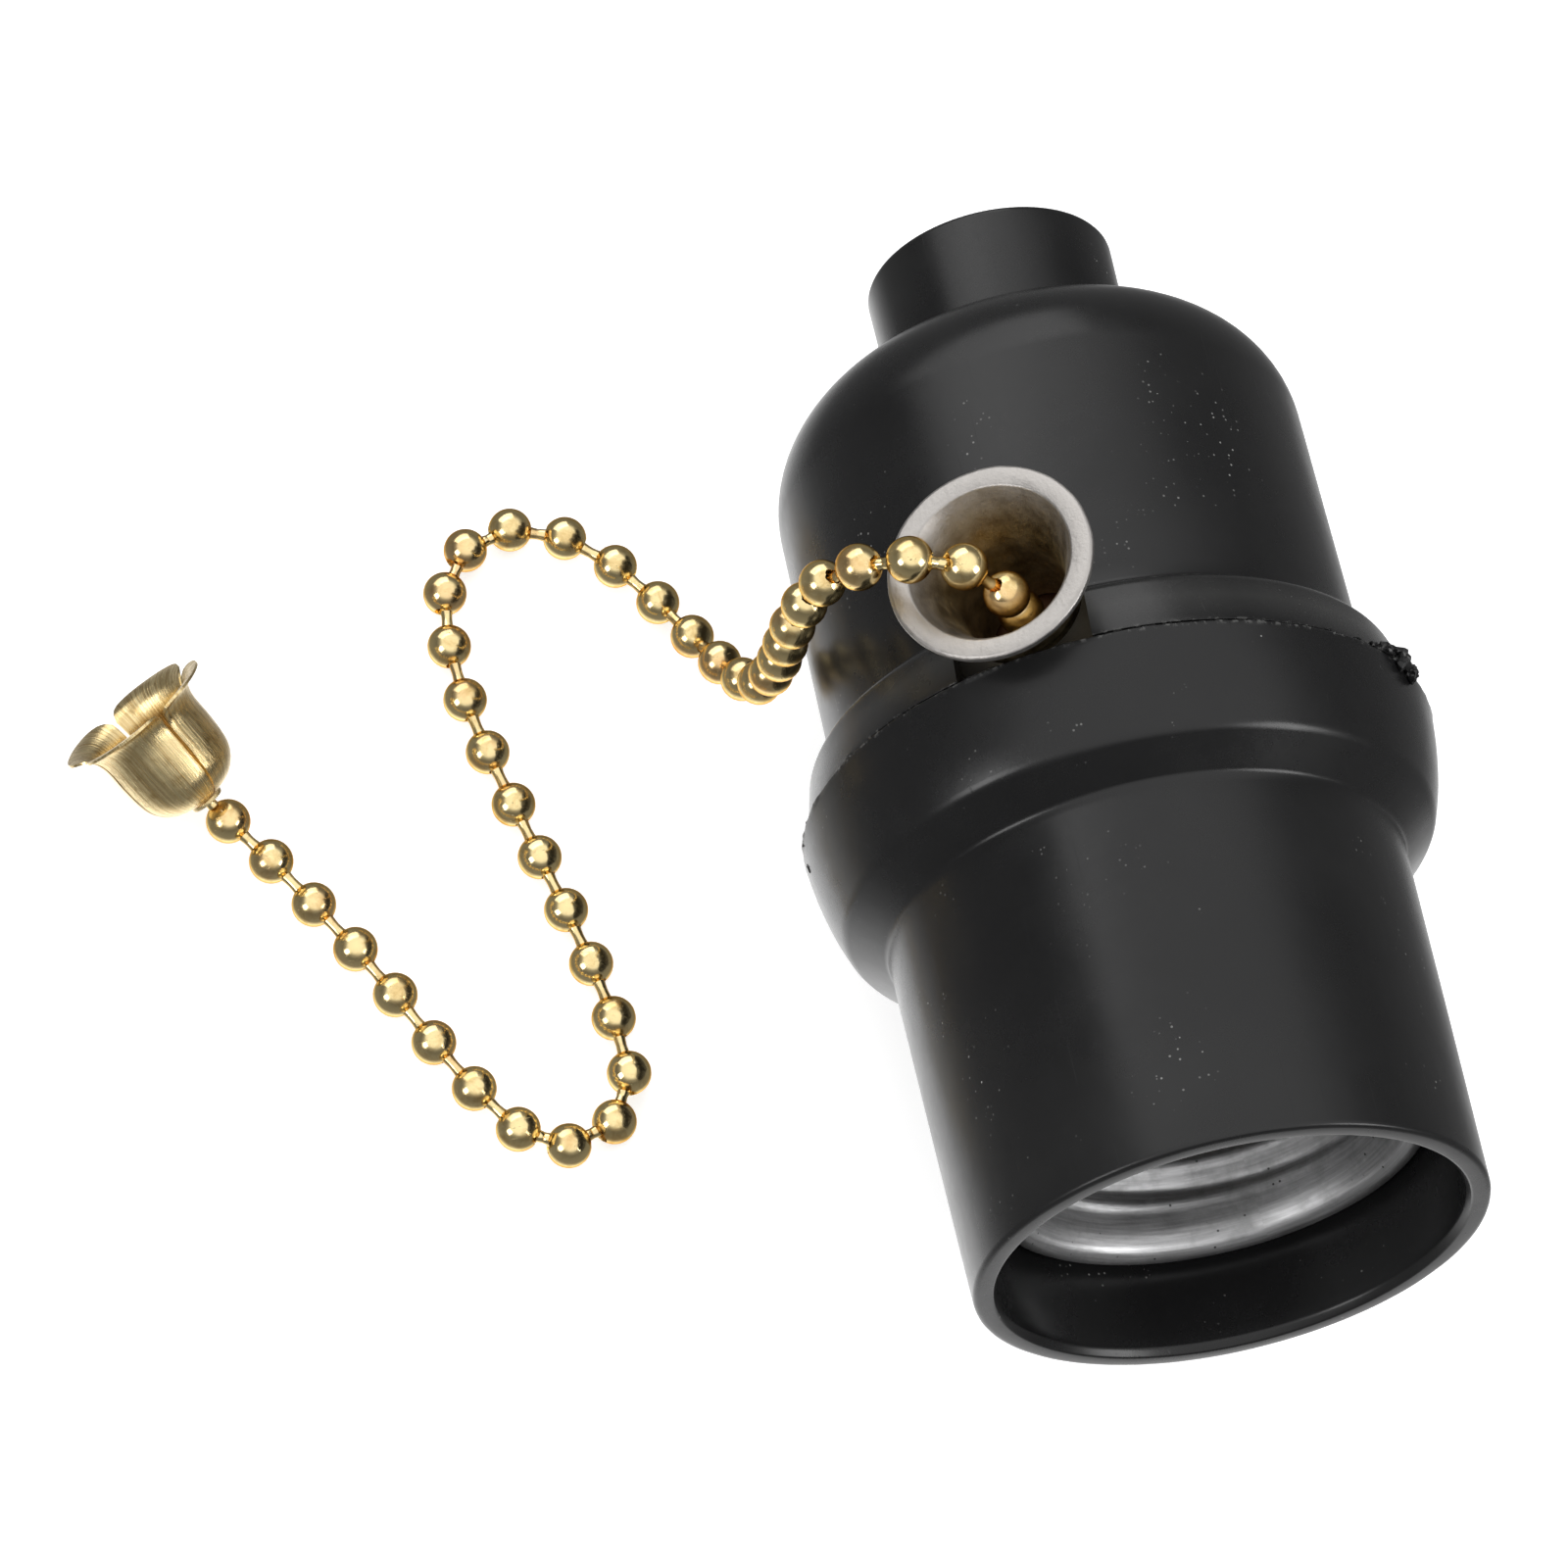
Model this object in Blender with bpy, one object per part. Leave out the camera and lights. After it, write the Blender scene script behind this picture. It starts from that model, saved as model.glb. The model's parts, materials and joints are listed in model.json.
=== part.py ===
"""E27 lamp holder with a built-in pull chain switch, lying on its side.

Units are metres. The holder is built in its own frame: local Z runs from the lamp mouth to the
cable neck, local X is the way the chain guide points. One empty, holder_frame, lays that frame
down on the surface. The chain and its bell lie on the surface in world coordinates.
"""
import math

import bmesh
import bpy
from mathutils import Matrix, Vector

for old in list(bpy.data.objects):
    bpy.data.objects.remove(old, do_unlink=True)

MM = 0.001
GAP = 0.3 * MM

# Resting pose: the collar and the dome touch the surface, the mouth end is raised.
REST_TILT = math.radians(7.45)
REST_ROLL = math.radians(29.0)
MOUTH_Y = -39.9 * MM
MOUTH_Z = 27.54 * MM

# Lower shell, stations along local Z from the mouth.
MOUTH_RADIUS = 18.13 * MM
MOUTH_BORE = 16.3 * MM
SKIRT_TOP_RADIUS = 18.62 * MM
SKIRT_TOP_Z = 26.3 * MM
COLLAR_RADIUS = 22.95 * MM
COLLAR_BORE = 21.0 * MM
LEDGE_Z = 31.2 * MM
SEAM_Z = 36.57 * MM

# Two tabs on the upper shell's spigot, opposite each other; local angle of the first, from the guide.
TAB_AT = 104.0

# Upper shell.
FLANGE_RADIUS = 22.4 * MM
FLANGE_TOP_RADIUS = 21.4 * MM
FLANGE_TOP_Z = 41.6 * MM
SPIGOT_RADIUS = 20.6 * MM
SPIGOT_Z = 34.6 * MM
BODY_RADIUS = 19.55 * MM
BODY_BORE = 17.7 * MM
DOME_Z = 62.64 * MM
DOME_CORNER = 8.57 * MM
NECK_RADIUS = 9.15 * MM
NECK_TOP_RADIUS = 9.32 * MM
NECK_BORE = 6.5 * MM
NECK_TOP_Z = 81.6 * MM

# Chain guide, a flared bush through the side wall.
GUIDE_Z = 42.7 * MM
GUIDE_RIM_X = 26.0 * MM
GUIDE_RIM_RADIUS = 7.35 * MM
GUIDE_STEM_RADIUS = 4.5 * MM
GUIDE_BORE = 3.9 * MM
GUIDE_HOLE = 4.75 * MM
NOTCH_WIDTH = 9.9 * MM

# Lamp screw shell, E27.
THREAD_PITCH = 3.629 * MM
THREAD_MAJOR = 13.35 * MM
THREAD_MINOR = 12.25 * MM
SHEET = 0.4 * MM
SHELL_RIM_Z = 6.5 * MM
SHELL_RIM_RADIUS = 15.7 * MM
SHELL_FLOOR_Z = 30.9 * MM

# Switch mechanism, turning about a pin along local Y.
PIVOT_X = 3.0 * MM
PIVOT_Z = 51.7 * MM
PIN_RADIUS = 1.1 * MM
PULL_HALF = 4.5 * MM
LEVER_SWING = math.atan2(PULL_HALF, PIVOT_Z - GUIDE_Z)
DRUM_RADIUS = 5.2 * MM
CONTACT_RADIUS = 5.9 * MM

# Ball chain and bell.
CHAIN_RADIUS = 1.6 * MM
ANCHOR_X = PIVOT_X - PULL_HALF
THROAT_LEAN = 0.7 * MM
BELL_RADIUS = 4.27 * MM
BELL_FLARE = 5.7 * MM
BELL_HEIGHT = 8.6 * MM
BELL_SHEET = 0.4 * MM

LATHE_STEPS = 48


def material(name, color, metallic, roughness):
    mat = bpy.data.materials.new(name)
    mat.use_nodes = True
    shader = mat.node_tree.nodes["Principled BSDF"]
    shader.inputs["Base Color"].default_value = (*color, 1.0)
    shader.inputs["Metallic"].default_value = metallic
    shader.inputs["Roughness"].default_value = roughness
    mat.diffuse_color = (*color, 1.0)
    return mat


BLACK = (0.012, 0.012, 0.013)
BROWN = (0.11, 0.045, 0.02)
BRASS = (0.72, 0.52, 0.22)
NICKEL = (0.58, 0.56, 0.53)
ALUMINIUM = (0.7, 0.7, 0.71)
STEEL = (0.45, 0.45, 0.46)

FINISHES = {
    "black": (BLACK, 0.0, 0.3),
    "brown": (BROWN, 0.0, 0.4),
    "brass": (BRASS, 1.0, 0.25),
    "nickel": (NICKEL, 1.0, 0.35),
    "aluminium": (ALUMINIUM, 1.0, 0.4),
    "steel": (STEEL, 1.0, 0.35),
}

frame = bpy.data.objects.new("holder_frame", None)
bpy.context.scene.collection.objects.link(frame)
frame.matrix_world = (
    Matrix.Translation((0.0, MOUTH_Y, MOUTH_Z))
    @ Matrix.Rotation(-(math.pi / 2 + REST_TILT), 4, "X")
    @ Matrix.Rotation(-(math.pi / 2 + REST_ROLL), 4, "Z")
)


def finish(name, bm, look, origin=(0.0, 0.0, 0.0), held=True):
    """Turn a bmesh, drawn in its parent's coordinates, into a named object."""
    bmesh.ops.remove_doubles(bm, verts=bm.verts, dist=1e-7)
    bmesh.ops.recalc_face_normals(bm, faces=bm.faces)
    bmesh.ops.translate(bm, verts=bm.verts, vec=-Vector(origin))
    for face in bm.faces:
        face.smooth = True
    for edge in bm.edges:
        edge.smooth = len(edge.link_faces) == 2 and edge.calc_face_angle(0.0) < math.radians(32)
    mesh = bpy.data.meshes.new(name)
    bm.to_mesh(mesh)
    bm.free()
    obj = bpy.data.objects.new(name, mesh)
    bpy.context.scene.collection.objects.link(obj)
    if held:
        obj.parent = frame
    obj.location = origin
    mesh.materials.append(material(name, *FINISHES[look]))
    return obj


def lathe(loop_at, steps, turn=None):
    """Closed solid of revolution; loop_at(angle) lists (radius, z) round the section."""
    bm = bmesh.new()
    rings = []
    for k in range(steps):
        angle = 2 * math.pi * k / steps
        ring = []
        for j, (r, z) in enumerate(loop_at(angle)):
            if r < 1e-9 and rings:
                ring.append(rings[0][j])
            else:
                ring.append(bm.verts.new((r * math.cos(angle), r * math.sin(angle), z)))
        rings.append(ring)
    count = len(rings[0])
    for k in range(steps):
        here = rings[k]
        there = rings[(k + 1) % steps]
        for j in range(count):
            quad = [here[j], there[j], there[(j + 1) % count], here[(j + 1) % count]]
            corners = []
            for vert in quad:
                if vert not in corners:
                    corners.append(vert)
            if len(corners) > 2:
                bm.faces.new(corners)
    if turn is not None:
        bmesh.ops.transform(bm, matrix=turn, verts=bm.verts)
    return bm


def along(direction, at):
    """Matrix that lays a lathe axis along a local direction, starting at a point."""
    axis = {"X": Matrix.Rotation(math.pi / 2, 4, "Y"), "Y": Matrix.Rotation(-math.pi / 2, 4, "X")}
    return Matrix.Translation(at) @ axis.get(direction, Matrix.Identity(4))


def box(low, high):
    bm = bmesh.new()
    bmesh.ops.create_cube(bm, size=1.0)
    size = [b - a for a, b in zip(low, high)]
    middle = [(a + b) / 2 for a, b in zip(low, high)]
    placed = Matrix.Translation(middle) @ Matrix.Diagonal((*size, 1.0))
    bmesh.ops.transform(bm, matrix=placed, verts=bm.verts)
    return bm


def prism(outline, low, high, axis):
    """Extrude a flat outline; axis X takes (y, z) pairs, Y takes (x, z), Z takes (x, y)."""
    place = {
        "X": lambda a, b, d: (d, a, b),
        "Y": lambda a, b, d: (a, d, b),
        "Z": lambda a, b, d: (a, b, d),
    }[axis]
    bm = bmesh.new()
    bottom = [bm.verts.new(place(a, b, low)) for a, b in outline]
    top = [bm.verts.new(place(a, b, high)) for a, b in outline]
    bm.faces.new(bottom)
    bm.faces.new(list(reversed(top)))
    count = len(outline)
    for i in range(count):
        bm.faces.new([bottom[i], top[i], top[(i + 1) % count], bottom[(i + 1) % count]])
    return bm


def tube(points, radius, sides):
    bm = bmesh.new()
    rings = []
    side = None
    for i, point in enumerate(points):
        ahead = points[min(i + 1, len(points) - 1)]
        behind = points[max(i - 1, 0)]
        heading = (ahead - behind).normalized()
        if side is None:
            side = heading.orthogonal().normalized()
        side = (side - side.dot(heading) * heading).normalized()
        other = heading.cross(side)
        ring = []
        for k in range(sides):
            angle = 2 * math.pi * k / sides
            ring.append(bm.verts.new(point + radius * (math.cos(angle) * side + math.sin(angle) * other)))
        rings.append(ring)
    for a, b in zip(rings, rings[1:]):
        for k in range(sides):
            bm.faces.new([a[k], a[(k + 1) % sides], b[(k + 1) % sides], b[k]])
    bm.faces.new(list(reversed(rings[0])))
    bm.faces.new(rings[-1])
    return bm


def cut(target, tools):
    """Subtract hidden cutter objects from a body."""
    for i, bm in enumerate(tools):
        tool = finish(f"cutter_{target.name}_{i}", bm, "steel")
        tool.hide_render = True
        tool.display_type = "WIRE"
        modifier = target.modifiers.new(f"cut_{i}", "BOOLEAN")
        modifier.operation = "DIFFERENCE"
        modifier.solver = "EXACT"
        modifier.object = tool


def rod(radius, start, end, direction, at, steps=24):
    loop = [(0.0, start), (radius, start), (radius, end), (0.0, end)]
    return lathe(lambda angle: loop, steps, along(direction, at))


def smoothstep(value):
    value = min(max(value, 0.0), 1.0)
    return value * value * (3 - 2 * value)


def tab_weight(angle, flat, reach):
    """1 over the middle of both tabs, falling to 0 away from them; flat and reach in degrees."""
    off = (math.degrees(angle) - TAB_AT + 90.0) % 180.0 - 90.0
    return smoothstep(1.0 - (abs(off) - flat) / reach)


# ---------------------------------------------------------------- shells

SHOULDER = [(18.8, 26.9), (19.5, 27.5), (20.5, 28.35), (21.35, 29.1), (21.8, 30.1), (22.25, 31.6)]


def lower_loop(angle):
    pocket = smoothstep(tab_weight(angle, 9.0, 7.0))
    loop = [
        (MOUTH_BORE, 0.35 * MM),
        (MOUTH_BORE + 0.35 * MM, 0.0),
        (MOUTH_RADIUS - 0.35 * MM, 0.0),
        (MOUTH_RADIUS, 0.35 * MM),
        (MOUTH_RADIUS + 0.25 * MM, 13.0 * MM),
        (SKIRT_TOP_RADIUS, SKIRT_TOP_Z),
    ]
    loop += [(r * MM, z * MM) for r, z in SHOULDER]
    loop += [
        (COLLAR_RADIUS - 0.3 * MM, SEAM_Z - 2.6 * MM),
        (COLLAR_RADIUS, SEAM_Z - 0.3 * MM),
        (COLLAR_RADIUS - 0.3 * MM, SEAM_Z),
        (COLLAR_BORE + 0.9 * MM * pocket, SEAM_Z),
        (COLLAR_BORE + 0.9 * MM * pocket, SEAM_Z - 2.9 * MM),
        (COLLAR_BORE, SEAM_Z - 3.0 * MM),
        (COLLAR_BORE - 0.15 * MM, LEDGE_Z),
        (16.9 * MM, LEDGE_Z),
        (16.6 * MM, LEDGE_Z - 1.2 * MM),
        (16.5 * MM, 16.0 * MM),
    ]
    return loop


finish("lower_shell", lathe(lower_loop, LATHE_STEPS), "black")


def upper_loop(angle):
    tab = smoothstep(tab_weight(angle, 3.0, 7.0))
    loop = [
        (18.9 * MM, SPIGOT_Z),
        (SPIGOT_RADIUS - 0.3 * MM, SPIGOT_Z),
        (SPIGOT_RADIUS + 0.85 * MM * tab, SPIGOT_Z + 0.3 * MM),
        (SPIGOT_RADIUS + 0.85 * MM * tab, SEAM_Z - 0.1 * MM),
        (SPIGOT_RADIUS + 0.85 * MM * tab, SEAM_Z + GAP),
        (FLANGE_RADIUS - 0.2 * MM, SEAM_Z + GAP),
        (FLANGE_RADIUS, SEAM_Z + GAP + 0.2 * MM),
        (FLANGE_TOP_RADIUS + 0.25 * MM, FLANGE_TOP_Z - 0.45 * MM),
        (FLANGE_TOP_RADIUS - 0.2 * MM, FLANGE_TOP_Z),
        (BODY_RADIUS + 0.5 * MM, FLANGE_TOP_Z + 0.15 * MM),
        (BODY_RADIUS, FLANGE_TOP_Z + 0.65 * MM),
        (BODY_RADIUS, 52.0 * MM),
    ]
    for i in range(8):
        turn = math.pi / 2 * i / 7
        loop.append(
            (
                BODY_RADIUS - DOME_CORNER * (1 - math.cos(turn)),
                DOME_Z + DOME_CORNER * math.sin(turn),
            )
        )
    loop += [
        (NECK_RADIUS + 0.3 * MM, DOME_Z + DOME_CORNER + 0.05 * MM),
        (NECK_RADIUS, DOME_Z + DOME_CORNER + 0.35 * MM),
        (NECK_TOP_RADIUS, NECK_TOP_Z - 0.4 * MM),
        (NECK_TOP_RADIUS - 0.35 * MM, NECK_TOP_Z),
        (NECK_BORE + 0.3 * MM, NECK_TOP_Z),
        (NECK_BORE, NECK_TOP_Z - 0.4 * MM),
        (NECK_BORE, DOME_Z + 6.7 * MM),
    ]
    inner = 6.9 * MM
    for i in range(5):
        turn = math.pi / 2 * (1 - i / 4)
        loop.append(
            (
                BODY_BORE - inner * (1 - math.cos(turn)),
                DOME_Z - 0.2 * MM + inner * math.sin(turn),
            )
        )
    loop += [(BODY_BORE + 0.05 * MM, 43.0 * MM), (18.9 * MM, 38.5 * MM)]
    return loop


upper_shell = finish("upper_shell", lathe(upper_loop, LATHE_STEPS), "black")
cut(
    upper_shell,
    [
        rod(GUIDE_HOLE, 12.0 * MM, 25.0 * MM, "X", (0.0, 0.0, GUIDE_Z), 32),
        box(
            (BODY_RADIUS + 0.35 * MM, -NOTCH_WIDTH / 2, SEAM_Z - 1.0 * MM),
            (25.0 * MM, NOTCH_WIDTH / 2, FLANGE_TOP_Z + 1.0 * MM),
        ),
    ],
)

bush = [
    (4.45, 68.6), (7.6, 68.6), (7.6, 69.0), (6.2, 69.05), (6.2, 74.0), (5.8, 74.3), (5.8, 75.3),
    (6.2, 75.6), (6.2, 80.3), (5.9, 80.6), (4.9, 80.6), (4.45, 80.1),
]
neck_bush = [(r * MM, z * MM) for r, z in bush]
finish("neck_bush", lathe(lambda angle: neck_bush, 32), "brass")

# ---------------------------------------------------------------- lamp screw shell


def screw_shell_loop(angle):
    inner = []
    count = 24
    start = SHELL_RIM_Z + 3.0 * MM
    stop = SHELL_FLOOR_Z - 2.4 * MM
    for i in range(count + 1):
        z = start + (stop - start) * i / count
        wave = 0.5 + 0.5 * math.cos(2 * math.pi * z / THREAD_PITCH - angle)
        fade = smoothstep((z - start) / (1.8 * MM)) * smoothstep((stop - z) / (1.8 * MM))
        inner.append((THREAD_MAJOR - (THREAD_MAJOR - THREAD_MINOR) * wave * fade, z))
    rim = [
        (SHELL_RIM_RADIUS - 0.3 * MM, SHELL_RIM_Z + 1.7 * MM),
        (SHELL_RIM_RADIUS, SHELL_RIM_Z + 0.9 * MM),
        (SHELL_RIM_RADIUS - 0.25 * MM, SHELL_RIM_Z + 0.2 * MM),
        (SHELL_RIM_RADIUS - 0.9 * MM, SHELL_RIM_Z),
        (SHELL_RIM_RADIUS - 1.6 * MM, SHELL_RIM_Z + 0.5 * MM),
        (SHELL_RIM_RADIUS - 2.1 * MM, SHELL_RIM_Z + 1.6 * MM),
    ]
    floor = [
        (THREAD_MAJOR - 0.3 * MM, SHELL_FLOOR_Z - 1.0 * MM),
        (THREAD_MAJOR - 1.0 * MM, SHELL_FLOOR_Z - SHEET),
        (6.4 * MM, SHELL_FLOOR_Z - SHEET),
        (6.4 * MM, SHELL_FLOOR_Z),
        (THREAD_MAJOR - 0.7 * MM, SHELL_FLOOR_Z),
        (THREAD_MAJOR + 0.1 * MM, SHELL_FLOOR_Z - 0.9 * MM),
    ]
    outer = [(r + SHEET, z) for r, z in reversed(inner)]
    hem = [
        (SHELL_RIM_RADIUS - 1.75 * MM, SHELL_RIM_Z + 1.75 * MM),
        (SHELL_RIM_RADIUS - 1.2 * MM, SHELL_RIM_Z + 0.9 * MM),
        (SHELL_RIM_RADIUS - 0.75 * MM, SHELL_RIM_Z + 1.5 * MM),
    ]
    return rim + inner + floor + outer + hem


finish("screw_shell", lathe(screw_shell_loop, 36), "aluminium")

tongue = [
    (-2.0, 30.9), (-2.0, 30.3), (2.6, 30.3), (4.9, 30.0), (5.35, 29.0), (4.8, 28.1), (-2.4, 26.6),
    (-2.3, 26.1), (5.1, 27.6), (5.95, 29.0), (5.3, 30.5), (2.7, 30.9),
]
finish(
    "centre_contact",
    prism([(y * MM, z * MM) for y, z in tongue], -1.9 * MM, 1.9 * MM, "X"),
    "brass",
)
rivet = [(0.0, 30.95), (1.3, 30.95), (1.3, 35.6), (2.3, 35.65), (2.3, 36.4), (0.0, 36.5)]
finish(
    "centre_rivet",
    lathe(lambda angle: [(r * MM, z * MM) for r, z in rivet], 20),
    "brass",
)

# ---------------------------------------------------------------- switch moulding

BODY_LOW = (-9.5 * MM, -8.2 * MM)
BODY_HIGH = (12.0 * MM, 8.2 * MM)
BODY_TOP = 60.5 * MM


disc = [(0.0, 31.5 * MM), (20.5 * MM, 31.5 * MM), (20.5 * MM, 34.25 * MM), (0.0, 34.25 * MM)]
switch_base = finish("switch_base", lathe(lambda angle: disc, LATHE_STEPS), "brown")
cut(
    switch_base,
    [
        rod(1.6 * MM, 30.0 * MM, 36.0 * MM, "Z", (0.0, 0.0, 0.0)),
        rod(1.75 * MM, 30.0 * MM, 36.0 * MM, "Z", (4.6 * MM, 0.0, 0.0)),
        rod(1.75 * MM, 30.0 * MM, 36.0 * MM, "Z", (-4.6 * MM, 0.0, 0.0)),
    ],
)

case_outline = [
    (BODY_LOW[0], BODY_LOW[1] + 1.5 * MM),
    (BODY_LOW[0] + 1.5 * MM, BODY_LOW[1]),
    (BODY_HIGH[0] - 1.5 * MM, BODY_LOW[1]),
    (BODY_HIGH[0], BODY_LOW[1] + 1.5 * MM),
    (BODY_HIGH[0], BODY_HIGH[1]),
    (BODY_LOW[0], BODY_HIGH[1]),
]
switch_case = finish("switch_case", prism(case_outline, 36.9 * MM, BODY_TOP, "Z"), "brown")
cut(
    switch_case,
    [
        box((-8.0 * MM, -6.7 * MM, 38.4 * MM), (10.4 * MM, 9.0 * MM, 59.0 * MM)),
        box((9.0 * MM, -2.4 * MM, 40.2 * MM), (13.0 * MM, 2.4 * MM, 45.2 * MM)),
        rod(PIN_RADIUS + 0.1 * MM, -10.0 * MM, 0.0, "Y", (PIVOT_X, 0.0, PIVOT_Z)),
        rod(1.45 * MM, -12.0 * MM, -6.0 * MM, "X", (0.0, 4.4 * MM, 50.0 * MM)),
        rod(1.45 * MM, -12.0 * MM, -6.0 * MM, "X", (0.0, -4.0 * MM, 50.0 * MM)),
    ],
)

switch_cover = finish(
    "switch_cover",
    box((BODY_LOW[0], BODY_HIGH[1] + GAP, 36.9 * MM), (BODY_HIGH[0], BODY_HIGH[1] + 1.8 * MM, BODY_TOP)),
    "brown",
)
cut(switch_cover, [rod(PIN_RADIUS + 0.1 * MM, 7.0 * MM, 12.0 * MM, "Y", (PIVOT_X, 0.0, PIVOT_Z))])

pin = [
    (0.0, -9.3), (2.0, -9.2), (2.0, -8.5), (1.1, -8.5), (1.1, 10.3), (1.8, 10.35), (1.8, 10.9), (0.0, 11.0),
]
finish(
    "rotor_pin",
    lathe(lambda angle: [(r * MM, z * MM) for r, z in pin], 20, along("Y", (PIVOT_X, 0.0, PIVOT_Z))),
    "steel",
)

# ---------------------------------------------------------------- lever, ratchet and contacts

PIVOT = (PIVOT_X, 0.0, PIVOT_Z)
CHEEK_OUT = 2.7 * MM
CHEEK_IN = 1.95 * MM
SLOT = 1.15
ARM = 2.4
TIP = -10.9


def swung(points):
    """Lever outline points, drawn hanging straight down, swung to the rest position."""
    turned = []
    for a, b in points:
        x = a * math.cos(LEVER_SWING) + b * math.sin(LEVER_SWING)
        z = -a * math.sin(LEVER_SWING) + b * math.cos(LEVER_SWING)
        turned.append((PIVOT_X + x * MM, PIVOT_Z + z * MM))
    return turned


hub = []
for i in range(15):
    angle = math.radians(-42 + 264 * i / 14)
    hub.append((3.4 * math.cos(angle), 3.4 * math.sin(angle)))
fork = [
    (-ARM, -5.0), (-ARM, TIP), (-SLOT, TIP), (-SLOT, -7.4),
    (SLOT, -7.4), (SLOT, TIP), (ARM, TIP), (ARM, -5.0),
]
lever = finish("pull_lever", prism(swung(hub + fork), -CHEEK_OUT, CHEEK_OUT, "Y"), "steel", PIVOT)
cut(
    lever,
    [
        rod(PIN_RADIUS + 0.1 * MM, -4.0 * MM, 4.0 * MM, "Y", PIVOT),
        prism(swung([(-5.0, -5.2), (-5.0, -13.0), (5.0, -13.0), (5.0, -5.2)]), -CHEEK_IN, CHEEK_IN, "Y"),
    ],
)

pawl = [
    (-1.5, -6.4), (-1.5, -9.2), (1.5, -9.2), (1.5, -6.4),
    (0.7, -6.2), (0.5, -5.8), (-0.1, -5.8), (-0.3, -6.4),
]
finish("drive_pawl", prism(swung(pawl), 3.0 * MM, 4.0 * MM, "Y"), "steel", PIVOT)

teeth = []
for i in range(8):
    for step, radius in ((0.0, 5.6), (0.25, 5.2), (0.98, 4.5)):
        angle = 2 * math.pi * (i + step) / 8
        teeth.append((PIVOT_X + radius * MM * math.cos(angle), PIVOT_Z + radius * MM * math.sin(angle)))
ratchet = finish("ratchet_wheel", prism(teeth, 3.0 * MM, 4.0 * MM, "Y"), "steel", PIVOT)
cut(ratchet, [rod(PIN_RADIUS + 0.1 * MM, 2.0 * MM, 5.0 * MM, "Y", PIVOT)])

drum_bore = PIN_RADIUS + 0.1 * MM
drum = [(drum_bore, 4.3 * MM), (DRUM_RADIUS, 4.3 * MM), (DRUM_RADIUS, 7.6 * MM), (drum_bore, 7.6 * MM)]
finish("contact_drum", lathe(lambda angle: drum, 32, along("Y", PIVOT)), "brown", PIVOT)


def crown_loop(angle):
    finger = smoothstep(4.0 * math.cos(4 * angle) + 0.5)
    inner = DRUM_RADIUS + 0.1 * MM
    outer = DRUM_RADIUS + GAP + (CONTACT_RADIUS - DRUM_RADIUS - GAP) * (0.2 + 0.8 * finger)
    return [(inner, 4.6 * MM), (outer, 4.6 * MM), (outer, 7.2 * MM), (inner, 7.2 * MM)]


finish("contact_crown", lathe(crown_loop, 48, along("Y", PIVOT)), "brass", PIVOT)

coil = []
COIL_TURNS = 4
for i in range(COIL_TURNS * 14 + 1):
    angle = 2 * math.pi * i / 14
    coil.append(
        Vector(
            (
                PIVOT_X + 2.3 * MM * math.cos(angle),
                (-3.3 - 0.75 * i / 14) * MM,
                PIVOT_Z + 2.3 * MM * math.sin(angle),
            )
        )
    )
coil.insert(0, Vector((PIVOT_X + 2.3 * MM, -3.2 * MM, PIVOT_Z - 4.6 * MM)))
coil.append(Vector((PIVOT_X + 2.3 * MM, -6.35 * MM, PIVOT_Z + 6.4 * MM)))
finish("return_spring", tube(coil, 0.26 * MM, 6), "steel", PIVOT)

BLADE_LOW = 4.8 * MM
BLADE_HIGH = 7.0 * MM
left_blade = [
    (-7.6, 47.2), (-7.6, 46.7), (-3.6, 46.7), (-3.2, 47.3), (-3.2, 55.8),
    (-3.6, 56.6), (-4.0, 56.6), (-3.6, 55.7), (-3.6, 47.2),
]
finish(
    "live_blade",
    prism([(x * MM, z * MM) for x, z in left_blade], BLADE_LOW, BLADE_HIGH, "Y"),
    "brass",
)
right_blade = [(9.3, 39.0), (9.7, 39.0), (9.7, 57.8), (9.3, 57.8)]
finish(
    "lamp_blade",
    prism([(x * MM, z * MM) for x, z in right_blade], BLADE_LOW, BLADE_HIGH, "Y"),
    "brass",
)

# ---------------------------------------------------------------- terminals and fixing screws

for label, low, high, centre in (("live", 1.0, 7.8, 4.4), ("neutral", -7.4, -0.6, -4.0)):
    plate = [
        (low, 39.0), (high, 39.0), (high, 55.0), (centre + 1.6, 55.0), (centre + 1.6, 48.6),
        (centre - 1.6, 48.6), (centre - 1.6, 55.0), (low, 55.0),
    ]
    finish(
        f"{label}_terminal",
        prism([(y * MM, z * MM) for y, z in plate], BODY_LOW[0] - 1.1 * MM, BODY_LOW[0] - 0.3 * MM, "X"),
        "brass",
    )
    screw = [
        (0.0, 0.0), (1.3, 0.0), (1.3, 6.0), (2.9, 6.0), (2.9, 7.4), (2.5, 7.8), (0.0, 7.9),
    ]
    turn = Matrix.Translation((-6.0 * MM, centre * MM, 50.0 * MM)) @ Matrix.Rotation(-math.pi / 2, 4, "Y")
    head = [(r * MM, (z - 1.1) * MM) for r, z in screw]
    body = finish(f"{label}_terminal_screw", lathe(lambda angle, head=head: head, 20, turn), "steel")
    cut(
        body,
        [box(((-13.2) * MM, (centre - 3.2) * MM, 49.6 * MM), (-12.1 * MM, (centre + 3.2) * MM, 50.4 * MM))],
    )

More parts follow.
